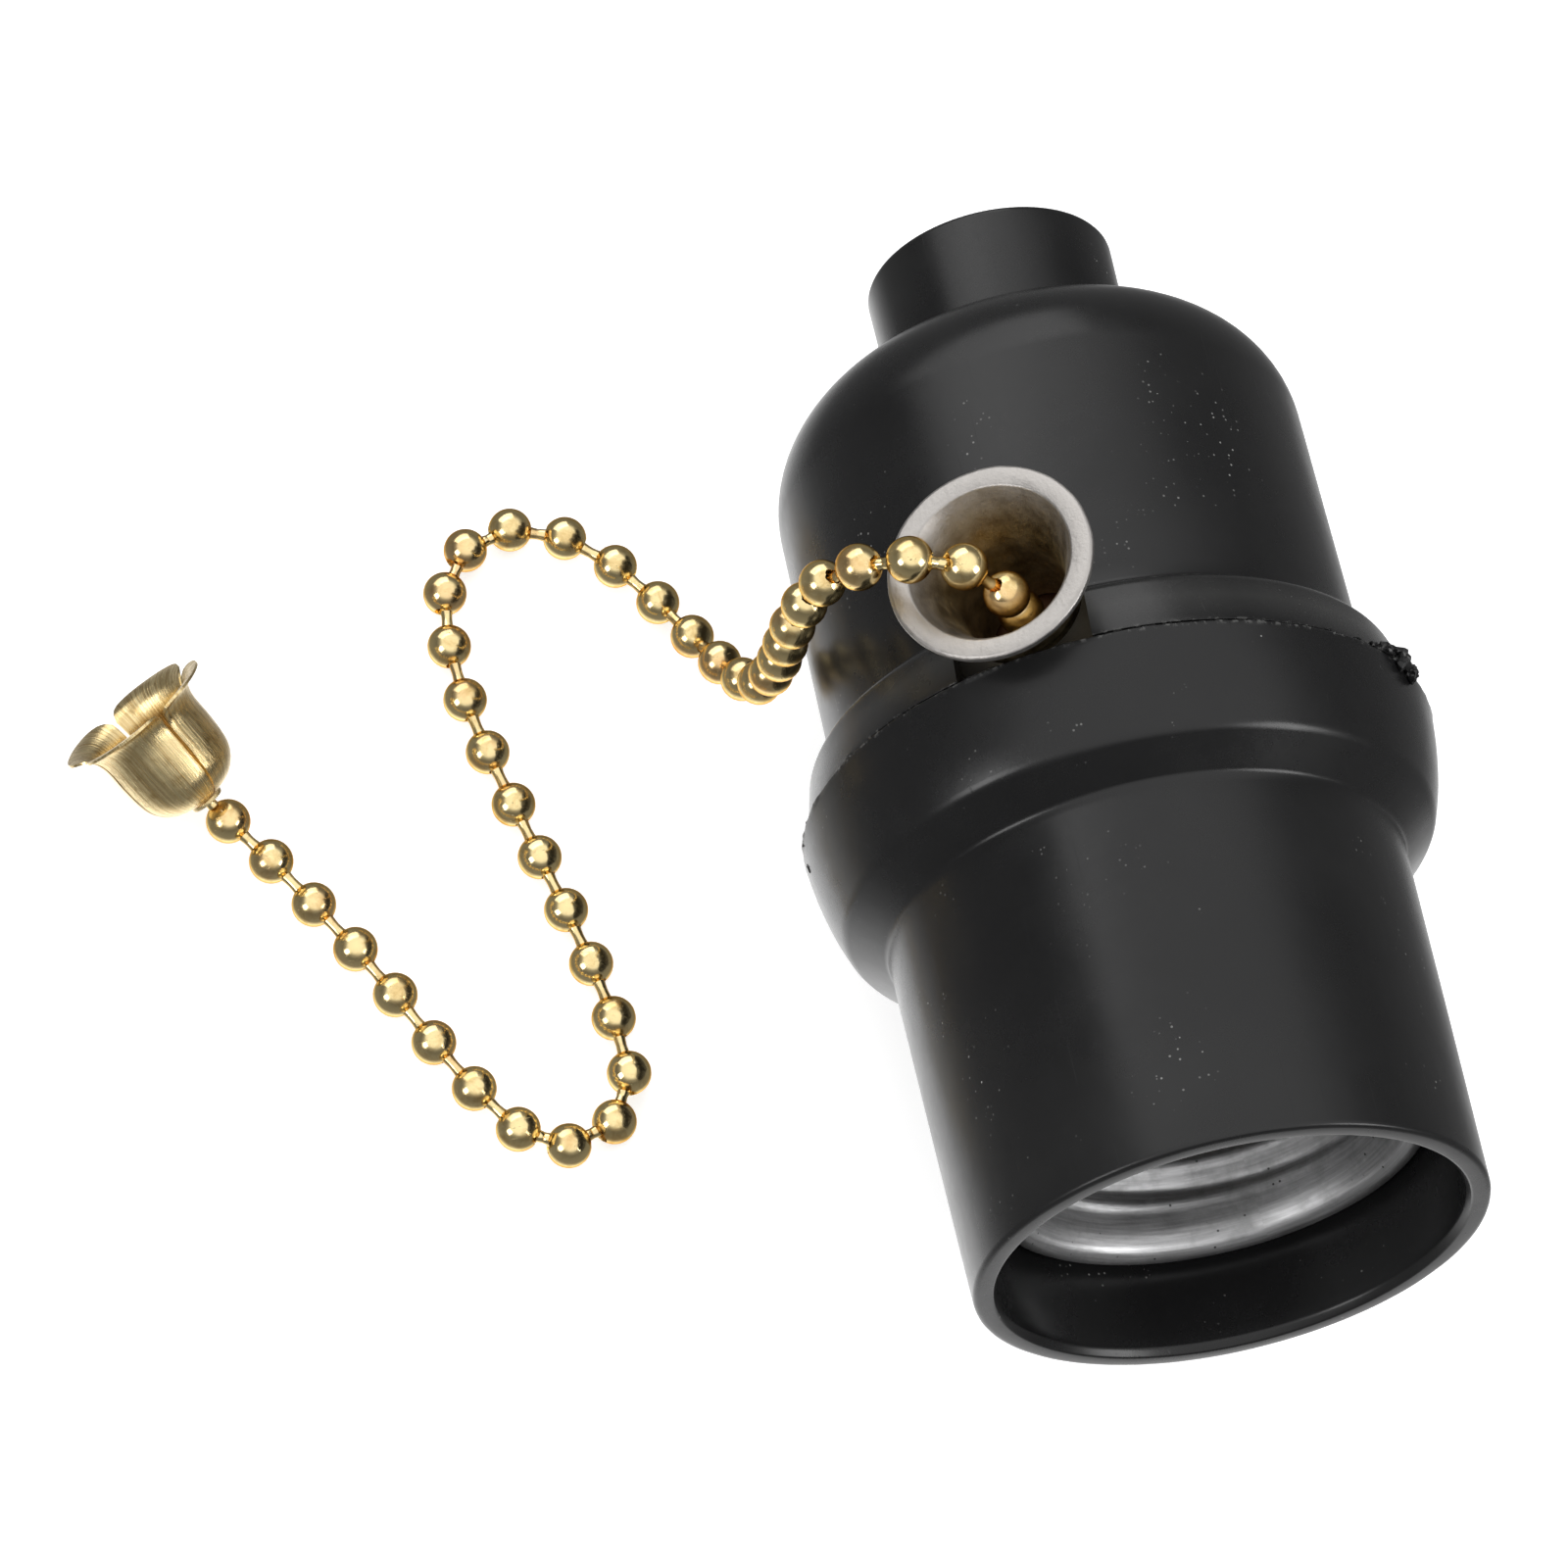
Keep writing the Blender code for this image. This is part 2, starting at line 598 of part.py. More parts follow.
for label, side in (("a", 1.0), ("b", -1.0)):
    screw = [
        (0.0, 35.9), (1.45, 35.9), (1.45, 30.2), (2.9, 30.2), (2.9, 29.6), (2.3, 28.9), (0.0, 28.75),
    ]
    loop = [(r * MM, z * MM) for r, z in screw]
    body = finish(
        f"shell_screw_{label}",
        lathe(lambda angle, loop=loop: loop, 20, Matrix.Translation((side * 4.6 * MM, 0.0, 0.0))),
        "steel",
    )
    cut(
        body,
        [
            box(
                ((side * 4.6 - 3.2) * MM, -0.4 * MM, 28.4 * MM),
                ((side * 4.6 + 3.2) * MM, 0.4 * MM, 29.5 * MM),
            )
        ],
    )

# ---------------------------------------------------------------- chain guide

rim = GUIDE_RIM_RADIUS
guide = [
    (GUIDE_BORE, 12.9 * MM),
    (GUIDE_STEM_RADIUS, 12.9 * MM),
    (GUIDE_STEM_RADIUS, 20.6 * MM),
    (GUIDE_STEM_RADIUS + 0.25 * MM, 22.3 * MM),
    (GUIDE_STEM_RADIUS + 0.95 * MM, 23.8 * MM),
    (rim - 0.85 * MM, 24.9 * MM),
    (rim - 0.2 * MM, 25.15 * MM),
    (rim, 25.55 * MM),
    (rim - 0.15 * MM, GUIDE_RIM_X - 0.1 * MM),
    (rim - 0.55 * MM, GUIDE_RIM_X),
    (rim - 1.15 * MM, GUIDE_RIM_X - 0.1 * MM),
    (GUIDE_BORE + 1.35 * MM, 24.5 * MM),
    (GUIDE_BORE + 0.45 * MM, 22.7 * MM),
    (GUIDE_BORE, 20.6 * MM),
]
finish("chain_guide", lathe(lambda angle: guide, 32, along("X", (0.0, 0.0, GUIDE_Z))), "nickel")

washer = [(4.8, 15.9), (6.2, 15.9), (6.2, 16.4), (4.8, 16.4)]
finish(
    "guide_washer",
    lathe(lambda angle: [(r * MM, z * MM) for r, z in washer], 28, along("X", (0.0, 0.0, GUIDE_Z))),
    "steel",
)
nut = finish(
    "guide_nut",
    lathe(
        lambda angle: [
            (6.0 * MM, 13.2 * MM),
            (6.0 * MM, 15.6 * MM),
            (0.0, 15.6 * MM),
            (0.0, 13.2 * MM),
        ],
        6,
        along("X", (0.0, 0.0, GUIDE_Z)),
    ),
    "brass",
)
cut(nut, [rod(4.65 * MM, 12.0 * MM, 17.0 * MM, "X", (0.0, 0.0, GUIDE_Z), 28)])

# ---------------------------------------------------------------- ball chain and bell

ANCHOR = frame.matrix_world @ Vector((ANCHOR_X, 0.0, GUIDE_Z))
THROAT = frame.matrix_world @ Vector((22.0 * MM, 0.0, GUIDE_Z - THROAT_LEAN))
OUT = (THROAT - ANCHOR).normalized()


def ball(radius, centre, steps):
    bm = bmesh.new()
    bmesh.ops.create_uvsphere(bm, u_segments=steps, v_segments=steps // 2, radius=radius)
    bmesh.ops.translate(bm, verts=bm.verts, vec=centre)
    return bm


# The chain's first ball carries two pegs that ride in the lever's fork.
peg = [
    (0.0, -2.7), (0.8, -2.7), (0.8, -1.6), (1.25, -1.15), (1.7, -0.35), (1.7, 0.35), (1.25, 1.15), (0.8, 1.6),
    (0.8, 2.7), (0.0, 2.7),
]
anchor_at = (ANCHOR_X, 0.0, GUIDE_Z)
anchor_loop = [(r * MM, y * MM) for r, y in peg]
finish("chain_anchor", lathe(lambda angle: anchor_loop, 16, along("Y", anchor_at)), "brass", anchor_at)

# Route of the chain's middle line, millimetres: out of the throat, over the rim, down beside
# the holder, then in an S on the surface to the bell.
ROUTE = [
    (-11.2, 3.9, 42.3), (-14.7, 5.1, 44.9), (-18.4, 5.6, 45.4), (-21.3, 6.5, 42.8), (-23.1, 7.3, 38.4),
    (-23.3, 8.1, 30.0), (-22.4, 9.5, 21.2), (-22.0, 11.4, 13.0), (-22.5, 14.7, 7.4), (-24.0, 19.7, 3.2),
    (-26.1, 23.7, 1.75), (-29.0, 27.1, 1.65), (-33.0, 29.8, 1.65), (-37.5, 30.3, 1.65), (-41.0, 27.7, 1.65),
    (-42.2, 23.1, 1.65), (-41.5, 16.1, 1.65), (-39.0, 7.1, 1.65), (-36.6, -0.9, 1.65), (-34.7, -8.4, 1.65),
    (-34.1, -13.9, 1.65), (-36.0, -17.5, 1.65), (-39.6, -18.7, 1.65), (-43.0, -16.9, 1.65),
    (-46.8, -11.7, 1.65), (-51.4, -3.9, 1.65), (-56.4, 3.5, 1.7), (-59.6, 7.6, 1.85),
]


def smooth_route(points, spacing):
    """Catmull-Rom curve through the route, resampled at even spacing."""
    dense = []
    for i in range(len(points) - 1):
        p0 = points[max(i - 1, 0)]
        p1 = points[i]
        p2 = points[i + 1]
        p3 = points[min(i + 2, len(points) - 1)]
        for k in range(24):
            t = k / 24
            dense.append(
                0.5
                * (
                    2 * p1
                    + (p2 - p0) * t
                    + (2 * p0 - 5 * p1 + 4 * p2 - p3) * t * t
                    + (3 * p1 - p0 - 3 * p2 + p3) * t * t * t
                )
            )
    dense.append(points[-1])
    lengths = [0.0]
    for a, b in zip(dense, dense[1:]):
        lengths.append(lengths[-1] + (b - a).length)
    count = round(lengths[-1] / spacing)
    even = []
    j = 0
    for i in range(count + 1):
        want = lengths[-1] * i / count
        while j < len(lengths) - 2 and lengths[j + 1] < want:
            j += 1
        part = (want - lengths[j]) / (lengths[j + 1] - lengths[j])
        even.append(dense[j].lerp(dense[j + 1], min(max(part, 0.0), 1.0)))
    return even


BELL_BASE = Vector((-61.9, 9.95, 3.05)) * MM
BELL_AXIS = Vector((-4.6, 5.2, 3.4)).normalized()
start = ANCHOR + OUT * 2.1 * MM
inside = [start + (THROAT - start) * i / 3 for i in range(4)]
end = BELL_BASE - BELL_AXIS * 0.9 * MM
route = inside + [Vector(point) * MM for point in ROUTE] + [end]

chain_curve = bpy.data.curves.new("pull_chain", "CURVE")
chain_curve.dimensions = "3D"
chain_curve.bevel_depth = CHAIN_RADIUS
chain_curve.bevel_resolution = 2
chain_curve.use_fill_caps = True
spline = chain_curve.splines.new("POLY")
chain_points = smooth_route(route, 4.6 * MM)
spline.points.add(len(chain_points) - 1)
for spot, point in zip(spline.points, chain_points):
    spot.co = (*(point - ANCHOR), 1.0)
chain_curve.materials.append(material("pull_chain", *FINISHES["brass"]))
pull_chain = bpy.data.objects.new("pull_chain", chain_curve)
bpy.context.scene.collection.objects.link(pull_chain)
pull_chain.location = ANCHOR


def bell_loop(angle):
    petal = abs(math.sin(2 * angle)) ** 0.6
    flare = BELL_RADIUS + (BELL_FLARE - BELL_RADIUS) * petal
    lip = BELL_HEIGHT - 0.9 * MM * (1 - petal)
    t = BELL_SHEET
    return [
        (0.9 * MM, 0.0),
        (2.6 * MM, 0.15 * MM),
        (3.75 * MM, 1.1 * MM),
        (BELL_RADIUS, 3.2 * MM),
        (BELL_RADIUS + 0.05 * MM, 6.4 * MM),
        ((BELL_RADIUS + flare) / 2 + 0.1 * MM, lip - 0.55 * MM),
        (flare, lip - 0.05 * MM),
        (flare - 0.15 * MM, lip + 0.25 * MM),
        ((BELL_RADIUS + flare) / 2 - 0.25 * MM, lip - 0.15 * MM),
        (BELL_RADIUS + 0.05 * MM - t, 6.5 * MM),
        (BELL_RADIUS - t, 3.3 * MM),
        (3.5 * MM, 1.5 * MM),
        (2.45 * MM, 0.6 * MM),
        (0.9 * MM, 0.45 * MM),
    ]


lay = Vector((0.0, 0.0, 1.0)).rotation_difference(BELL_AXIS).to_matrix().to_4x4()
bell_place = Matrix.Translation(BELL_BASE) @ lay
finish("bell_pull", lathe(bell_loop, 32, bell_place), "brass", BELL_BASE, held=False)
finish("end_bead", ball(CHAIN_RADIUS, BELL_BASE + BELL_AXIS * 2.5 * MM, 16), "brass", BELL_BASE, held=False)
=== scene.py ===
"""Looks of the pull chain lamp holder: moulded shells, sheet metal, bead chain and bell pull."""
import json
import math

import bmesh
import bpy
import numpy as np
from mathutils import Matrix, Vector, noise


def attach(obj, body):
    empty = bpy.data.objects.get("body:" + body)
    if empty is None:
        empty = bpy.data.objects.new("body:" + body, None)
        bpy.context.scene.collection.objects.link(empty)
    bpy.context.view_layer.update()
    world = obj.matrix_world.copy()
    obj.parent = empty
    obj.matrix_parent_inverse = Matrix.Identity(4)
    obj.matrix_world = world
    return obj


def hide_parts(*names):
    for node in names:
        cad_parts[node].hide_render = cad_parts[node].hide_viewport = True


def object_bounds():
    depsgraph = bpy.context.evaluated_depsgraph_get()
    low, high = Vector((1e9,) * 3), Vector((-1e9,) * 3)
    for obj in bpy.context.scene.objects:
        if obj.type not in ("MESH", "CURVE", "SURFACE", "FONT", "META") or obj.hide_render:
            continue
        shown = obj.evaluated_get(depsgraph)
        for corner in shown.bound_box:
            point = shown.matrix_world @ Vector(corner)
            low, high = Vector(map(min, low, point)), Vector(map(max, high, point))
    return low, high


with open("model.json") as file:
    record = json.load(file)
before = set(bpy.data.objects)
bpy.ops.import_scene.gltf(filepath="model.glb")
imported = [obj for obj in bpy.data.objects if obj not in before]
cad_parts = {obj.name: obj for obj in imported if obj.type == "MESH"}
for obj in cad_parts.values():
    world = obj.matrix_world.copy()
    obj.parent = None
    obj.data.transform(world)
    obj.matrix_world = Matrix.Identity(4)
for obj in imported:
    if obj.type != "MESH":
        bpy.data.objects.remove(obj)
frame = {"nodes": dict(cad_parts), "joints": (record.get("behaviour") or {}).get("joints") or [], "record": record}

cad_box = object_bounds()

MM = 0.001
OWN_COORDS = "own_coords"
UP = Vector((0.0, 0.0, 1.0))

# ---------------------------------------------------------------- the holder's own axes

# Local Z runs from the lamp mouth to the neck, local X is the way the chain guide points.
mounts = {mount["name"]: mount for mount in frame["record"]["mounts"]}
slide = next(joint for joint in frame["joints"] if joint["name"] == "chain_pull")
MOUTH_SEAT_R = 17.2 * MM
AXIS_Z = Vector(mounts["neck_seat"]["axis"]).normalized()
AXIS_X = Vector(slide["axis"])
AXIS_X = (AXIS_X - AXIS_X.dot(AXIS_Z) * AXIS_Z).normalized()
AXIS_Y = AXIS_Z.cross(AXIS_X)
MOUTH = Vector(mounts["mouth_seat"]["pos_m"]) - MOUTH_SEAT_R * AXIS_X
HOLDER = Matrix.Translation(MOUTH) @ Matrix((AXIS_X, AXIS_Y, AXIS_Z)).transposed().to_4x4()

# Stations of the shells along local Z, and radii, in millimetres.
SKIRT_R = 18.13
SKIRT_TOP_R = 18.66
BORE_R = 16.3
COLLAR_R = 22.95
SEAM_Z = 36.57
SEAM_GAP = 0.3
FLANGE_R = 22.4
FLANGE_TOP_R = 21.45
FLANGE_TOP_Z = 41.6
BODY_R = 19.55
DOME_Z = 62.64
DOME_CORNER = 8.57
DOME_TOP_Z = DOME_Z + DOME_CORNER
NECK_R = 9.15
NECK_TOP_R = 9.32
NECK_TOP_Z = 81.6
GUIDE_Z = 42.7
GUIDE_RIM_X = 26.0
NOTCH_HALF = 4.95

BEAD_R = 1.64
BEAD_PITCH = 4.55
BEAD_CRAMP = 3.0

# Two tabs on the upper shell's spigot, opposite each other; local angle of the first, from the guide.
TAB_AT = 104.0


# ---------------------------------------------------------------- material building blocks


def new_material(name, color, metallic, roughness, **sockets):
    mat = bpy.data.materials.new(name)
    mat.use_nodes = True
    shader = mat.node_tree.nodes["Principled BSDF"]
    shader.inputs["Base Color"].default_value = (*color, 1.0)
    shader.inputs["Metallic"].default_value = metallic
    shader.inputs["Roughness"].default_value = roughness
    for socket, value in sockets.items():
        shader.inputs[socket.replace("_", " ")].default_value = value
    mat.diffuse_color = (*color, 1.0)
    return mat


def add(mat, kind, inputs, output=0, **settings):
    """Adds a node; inputs are values or sockets by name or number. Returns one of its outputs."""
    node = mat.node_tree.nodes.new(kind)
    for key, value in settings.items():
        setattr(node, key, value)
    for key, value in inputs.items():
        if isinstance(value, bpy.types.NodeSocket):
            mat.node_tree.links.new(value, node.inputs[key])
        else:
            node.inputs[key].default_value = value
    return node.outputs[output]


def plug(mat, socket, source):
    mat.node_tree.links.new(source, mat.node_tree.nodes["Principled BSDF"].inputs[socket])


def own_coords(mat):
    """Coordinates that a piece was drawn in, in metres, kept with its mesh."""
    return add(mat, "ShaderNodeAttribute", {}, "Vector", attribute_name=OWN_COORDS)


def place(mat, scale=(1.0, 1.0, 1.0)):
    coords = add(mat, "ShaderNodeTexCoord", {}, "Object")
    return add(mat, "ShaderNodeMapping", {"Vector": coords, "Scale": scale})


def band(mat, value, centre, half):
    """1 at a station, falling to 0 at half to both sides; millimetres."""
    off = math_node(mat, "ABSOLUTE", math_node(mat, "SUBTRACT", value, centre * MM))
    return spread(mat, off, half * MM, 0.0)


def math_node(mat, operation, *values):
    return add(mat, "ShaderNodeMath", dict(enumerate(values)), operation=operation)


def cylindrical(mat):
    """Angle round local Z, distance from it and height along it, from a piece's own coordinates."""
    split = mat.node_tree.nodes.new("ShaderNodeSeparateXYZ")
    mat.node_tree.links.new(own_coords(mat), split.inputs[0])
    x, y, z = split.outputs
    squares = math_node(mat, "ADD", math_node(mat, "MULTIPLY", x, x), math_node(mat, "MULTIPLY", y, y))
    return math_node(mat, "ARCTAN2", y, x), math_node(mat, "SQRT", squares), z


def polar(mat, around, outward, along):
    """Coordinates round local Z, each stretched: around (per radian), outward and along (per metre)."""
    stretched = {}
    for index, (value, factor) in enumerate(zip(cylindrical(mat), (around, outward, along))):
        stretched[index] = math_node(mat, "MULTIPLY", value, factor)
    return add(mat, "ShaderNodeCombineXYZ", stretched)


def cloud(mat, vector, scale, detail=3.0, rough=0.55, distortion=0.0):
    inputs = {"Vector": vector, "Scale": scale, "Detail": detail}
    inputs.update({"Roughness": rough, "Distortion": distortion})
    return add(mat, "ShaderNodeTexNoise", inputs, "Fac")


def spread(mat, value, low, high, out_low=0.0, out_high=1.0):
    inputs = {"Value": value, "From Min": low, "From Max": high, "To Min": out_low, "To Max": out_high}
    return add(mat, "ShaderNodeMapRange", inputs, clamp=True)


def blend_colors(mat, factor, first, second):
    node = mat.node_tree.nodes.new("ShaderNodeMix")
    node.data_type = "RGBA"
    mat.node_tree.links.new(factor, node.inputs[0])
    for index, value in ((6, first), (7, second)):
        if isinstance(value, bpy.types.NodeSocket):
            mat.node_tree.links.new(value, node.inputs[index])
        else:
            node.inputs[index].default_value = (*value, 1.0)
    return node.outputs[2]


def bump(mat, height, strength, distance, under=None):
    inputs = {"Height": height, "Strength": strength, "Distance": distance}
    if under is not None:
        inputs["Normal"] = under
    return add(mat, "ShaderNodeBump", inputs)


def specks(mat, vector, scale, size, share):
    """1 inside small round specks, in a share of the cells of a scatter."""
    node = mat.node_tree.nodes.new("ShaderNodeTexVoronoi")
    mat.node_tree.links.new(vector, node.inputs["Vector"])
    node.inputs["Scale"].default_value = scale
    inside = spread(mat, node.outputs["Distance"], size * 0.6, size, 1.0, 0.0)
    chosen = spread(mat, node.outputs["Color"], 1.0 - share, 1.0 - share + 0.02)
    return math_node(mat, "MULTIPLY", inside, chosen)


# ---------------------------------------------------------------- materials


def black_plastic():
    """Glossy black moulding: soft mottling, dust, a lighter band on the flange that is partly painted reflection
    and partly scuffing, rubbed seams and edges.
    """
    mat = new_material("black_plastic", (0.0085, 0.0085, 0.009), 0.0, 0.3, IOR=1.42)
    here = own_coords(mat)
    patch = cloud(mat, here, 70.0, 4.0)
    grain = cloud(mat, here, 1500.0, 2.0)
    mottle = spread(mat, patch, 0.35, 0.7)
    base = blend_colors(mat, mottle, (0.0075, 0.0075, 0.0078), (0.0115, 0.0115, 0.0118))
    cluster = spread(mat, cloud(mat, here, 120.0, 3.0), 0.56, 0.7)
    fine = math_node(mat, "MULTIPLY", specks(mat, here, 3300.0, 0.32, 0.22), cluster)
    stray = specks(mat, here, 1300.0, 0.1, 0.055)
    grit = math_node(mat, "MULTIPLY", specks(mat, here, 1500.0, 0.14, 0.1), cluster)
    dust = math_node(mat, "MAXIMUM", math_node(mat, "MAXIMUM", fine, grit), stray)
    along = cylindrical(mat)[2]
    # A lighter grey band round the flange: painted reflection of the flange face, broken up in patches like
    # scuffing.
    flange_sheen_and_scuff = math_node(mat, "MULTIPLY", band(mat, along, 39.3, 2.6), spread(mat, patch, 0.2, 0.6, 0.35, 1.0))
    base = blend_colors(mat, math_node(mat, "MULTIPLY", flange_sheen_and_scuff, 0.8), base, (0.042, 0.042, 0.041))
    edge = band(mat, along, SEAM_Z + 0.1, 0.5)
    edge = math_node(mat, "MAXIMUM", edge, band(mat, along, FLANGE_TOP_Z, 0.35))
    edge = math_node(mat, "MAXIMUM", edge, band(mat, along, DOME_TOP_Z + 0.45, 0.3))
    torn = spread(mat, cloud(mat, here, 1900.0, 4.0, 0.7), 0.54, 0.62)
    rubbed = math_node(mat, "MULTIPLY", math_node(mat, "MULTIPLY", edge, torn), 0.5)
    light = math_node(mat, "MAXIMUM", math_node(mat, "MULTIPLY", dust, 0.75), rubbed)
    plug(mat, "Base Color", blend_colors(mat, light, base, (0.33, 0.33, 0.32)))
    gloss = spread(mat, patch, 0.3, 0.75, 0.2, 0.31)
    gloss = math_node(mat, "ADD", gloss, math_node(mat, "MULTIPLY", grain, 0.06))
    plug(mat, "Roughness", math_node(mat, "MAXIMUM", gloss, math_node(mat, "MULTIPLY", light, 0.9)))
    streaks = cloud(mat, polar(mat, 130.0, 2500.0, 60.0), 1.0, 2.0)
    scratch = spread(mat, streaks, 0.7, 0.78)
    rippled = bump(mat, cloud(mat, here, 160.0, 2.0), 0.15, 0.0002)
    sanded = bump(mat, grain, 0.12, 0.00002, rippled)
    plug(mat, "Normal", bump(mat, math_node(mat, "MAXIMUM", scratch, light), 0.3, 0.00002, sanded))
    return mat


def brown_plastic():
    """Satin brown moulding compound with faint flow marks."""
    mat = new_material("brown_plastic", (0.11, 0.045, 0.02), 0.0, 0.42)
    swirl = cloud(mat, place(mat), 300.0, 5.0, 0.6, 0.6)
    tone = blend_colors(mat, spread(mat, swirl, 0.3, 0.7), (0.075, 0.03, 0.014), (0.15, 0.062, 0.028))
    plug(mat, "Base Color", tone)
    plug(mat, "Roughness", spread(mat, swirl, 0.3, 0.7, 0.36, 0.52))
    plug(mat, "Normal", bump(mat, cloud(mat, place(mat), 1800.0, 2.0), 0.2, 0.00003))
    return mat


def aluminium_sheet():
    """Rolled aluminium: fine rings round the axis, dull patches and dark pits."""
    mat = new_material("aluminium_sheet", (0.3, 0.3, 0.305), 1.0, 0.5, Anisotropic=0.3)
    here = own_coords(mat)
    rings = cloud(mat, polar(mat, 3.0, 5000.0, 5000.0), 1.0, 3.0)
    patch = cloud(mat, here, 260.0, 5.0, 0.65)
    tone = blend_colors(mat, spread(mat, rings, 0.3, 0.7), (0.42, 0.42, 0.425), (0.62, 0.62, 0.625))
    dulled = blend_colors(mat, spread(mat, patch, 0.5, 0.75), tone, (0.3, 0.3, 0.3))
    pits = specks(mat, here, 1900.0, 0.22, 0.2)
    plug(mat, "Base Color", blend_colors(mat, pits, dulled, (0.09, 0.09, 0.09)))
    plug(mat, "Roughness", spread(mat, patch, 0.3, 0.7, 0.38, 0.6))
    scored = bump(mat, rings, 0.4, 0.00003)
    plug(mat, "Normal", bump(mat, cloud(mat, here, 2500.0, 3.0), 0.5, 0.00003, scored))
    return mat


def satin_nickel():
    """Nickel plate, grainy on the flare and tarnished olive brown down the throat."""
    mat = new_material("satin_nickel", (0.6, 0.58, 0.56), 1.0, 0.35)
    here = own_coords(mat)
    outward, depth = cylindrical(mat)[1:]
    wobble = math_node(mat, "MULTIPLY", cloud(mat, here, 250.0, 3.0), 2.2 * MM)
    level = math_node(mat, "ADD", depth, wobble)
    deep = spread(mat, level, (GUIDE_RIM_X + 0.1) * MM, (GUIDE_RIM_X - 2.6) * MM)
    inside = spread(mat, outward, 5.7 * MM, 5.3 * MM)
    tarnish = math_node(mat, "MULTIPLY", deep, inside)
    stain = cloud(mat, here, 700.0, 4.0, 0.65)
    plate = blend_colors(mat, spread(mat, stain, 0.3, 0.7), (0.4, 0.38, 0.362), (0.52, 0.497, 0.475))
    olive = blend_colors(mat, spread(mat, stain, 0.35, 0.65), (0.38, 0.3, 0.17), (0.58, 0.48, 0.3))
    plug(mat, "Base Color", blend_colors(mat, tarnish, plate, olive))
    plug(mat, "Roughness", spread(mat, stain, 0.3, 0.7, 0.36, 0.52))
    dimples = cloud(mat, here, 3600.0, 3.0, 0.65)
    coarse = bump(mat, cloud(mat, here, 1300.0, 2.0), 0.35, 0.00006)
    plug(mat, "Normal", bump(mat, dimples, 0.6, 0.00004, coarse))
    return mat


def bead_brass():
    """Rolled brass beads: tarnished in patches, finely scratched, with a dull red blush in places."""
    mat = new_material("bead_brass", (0.94, 0.74, 0.34), 1.0, 0.16)
    mat.node_tree.nodes["Principled BSDF"].inputs["Specular Tint"].default_value = (0.6, 0.4, 0.2, 1.0)
    here = place(mat)
    stain = cloud(mat, here, 520.0, 5.0, 0.65, 0.4)
    tone = blend_colors(mat, spread(mat, stain, 0.48, 0.72), (0.95, 0.76, 0.39), (0.66, 0.44, 0.17))
    blush = spread(mat, cloud(mat, here, 210.0, 2.0), 0.56, 0.68)
    tone = blend_colors(mat, math_node(mat, "MULTIPLY", blush, 0.35), tone, (0.82, 0.44, 0.2))
    nicks = spread(mat, cloud(mat, place(mat, (1.0, 3.5, 1.0)), 1500.0, 3.0, 0.7, 1.5), 0.68, 0.72)
    plug(mat, "Base Color", blend_colors(mat, nicks, tone, (0.2, 0.12, 0.05)))
    plug(mat, "Roughness", spread(mat, stain, 0.35, 0.75, 0.12, 0.27))
    dented = bump(mat, cloud(mat, here, 700.0, 2.0), 0.25, 0.0001)
    plug(mat, "Normal", bump(mat, nicks, 0.4, 0.00003, dented))
    return mat


def bell_brass():
    """Pressed sheet brass with draw marks that run along the wall."""
    mat = new_material("bell_brass", (0.9, 0.76, 0.45), 1.0, 0.24)
    here = own_coords(mat)
    lines = cloud(mat, polar(mat, 30.0, 60.0, 110.0), 1.0, 4.0, 0.6)
    fine = cloud(mat, polar(mat, 110.0, 200.0, 300.0), 1.0, 3.0, 0.6)
    tone = blend_colors(mat, spread(mat, lines, 0.42, 0.68), (0.95, 0.77, 0.42), (0.6, 0.41, 0.17))
    stain = spread(mat, cloud(mat, here, 900.0, 4.0, 0.65), 0.55, 0.75)
    plug(mat, "Base Color", blend_colors(mat, stain, tone, (0.45, 0.29, 0.1)))
    plug(mat, "Roughness", spread(mat, fine, 0.3, 0.7, 0.17, 0.36))
    drawn = bump(mat, lines, 0.5, 0.00006)
    plug(mat, "Normal", bump(mat, fine, 0.45, 0.00003, drawn))
    return mat


def turned_metal(name, color, dark, roughness):
    """Screws, pins and stampings: fine random tool marks and dull spots."""
    mat = new_material(name, color, 1.0, roughness)
    marks = cloud(mat, place(mat, (1.0, 1.0, 6.0)), 1500.0, 4.0, 0.6)
    plug(mat, "Base Color", blend_colors(mat, spread(mat, marks, 0.35, 0.7), color, dark))
    dull = cloud(mat, place(mat), 500.0, 4.0)
    plug(mat, "Roughness", spread(mat, dull, 0.3, 0.7, roughness, roughness + 0.18))
    plug(mat, "Normal", bump(mat, marks, 0.25, 0.00003))
    return mat


LOOKS = {
    "black_shell": black_plastic(),
    "brown_moulding": brown_plastic(),
    "aluminium_sheet": aluminium_sheet(),
    "satin_nickel": satin_nickel(),
    "bead_chain": bead_brass(),
    "bell_brass": bell_brass(),
    "brass_part": turned_metal("plain_brass", (0.74, 0.55, 0.24), (0.55, 0.38, 0.15), 0.26),
    "zinc_steel": turned_metal("zinc_steel", (0.5, 0.5, 0.51), (0.36, 0.36, 0.37), 0.32),
}

for part in frame["record"]["subparts"]:
    node = frame["nodes"][part["node"]]
    node.data.materials.clear()
    node.data.materials.append(LOOKS[part["material_slot"]])


# ---------------------------------------------------------------- mesh building blocks


def smoothstep(value):
    value = min(max(value, 0.0), 1.0)
    return value * value * (3 - 2 * value)


def ring_jitter(angle, times, seed, octaves=3):
    """Smooth noise that closes on itself round a circle."""
    spot = Vector((math.cos(angle) * times, math.sin(angle) * times, seed * 5.17))
    return noise.fractal(spot, 0.6, 2.0, octaves)


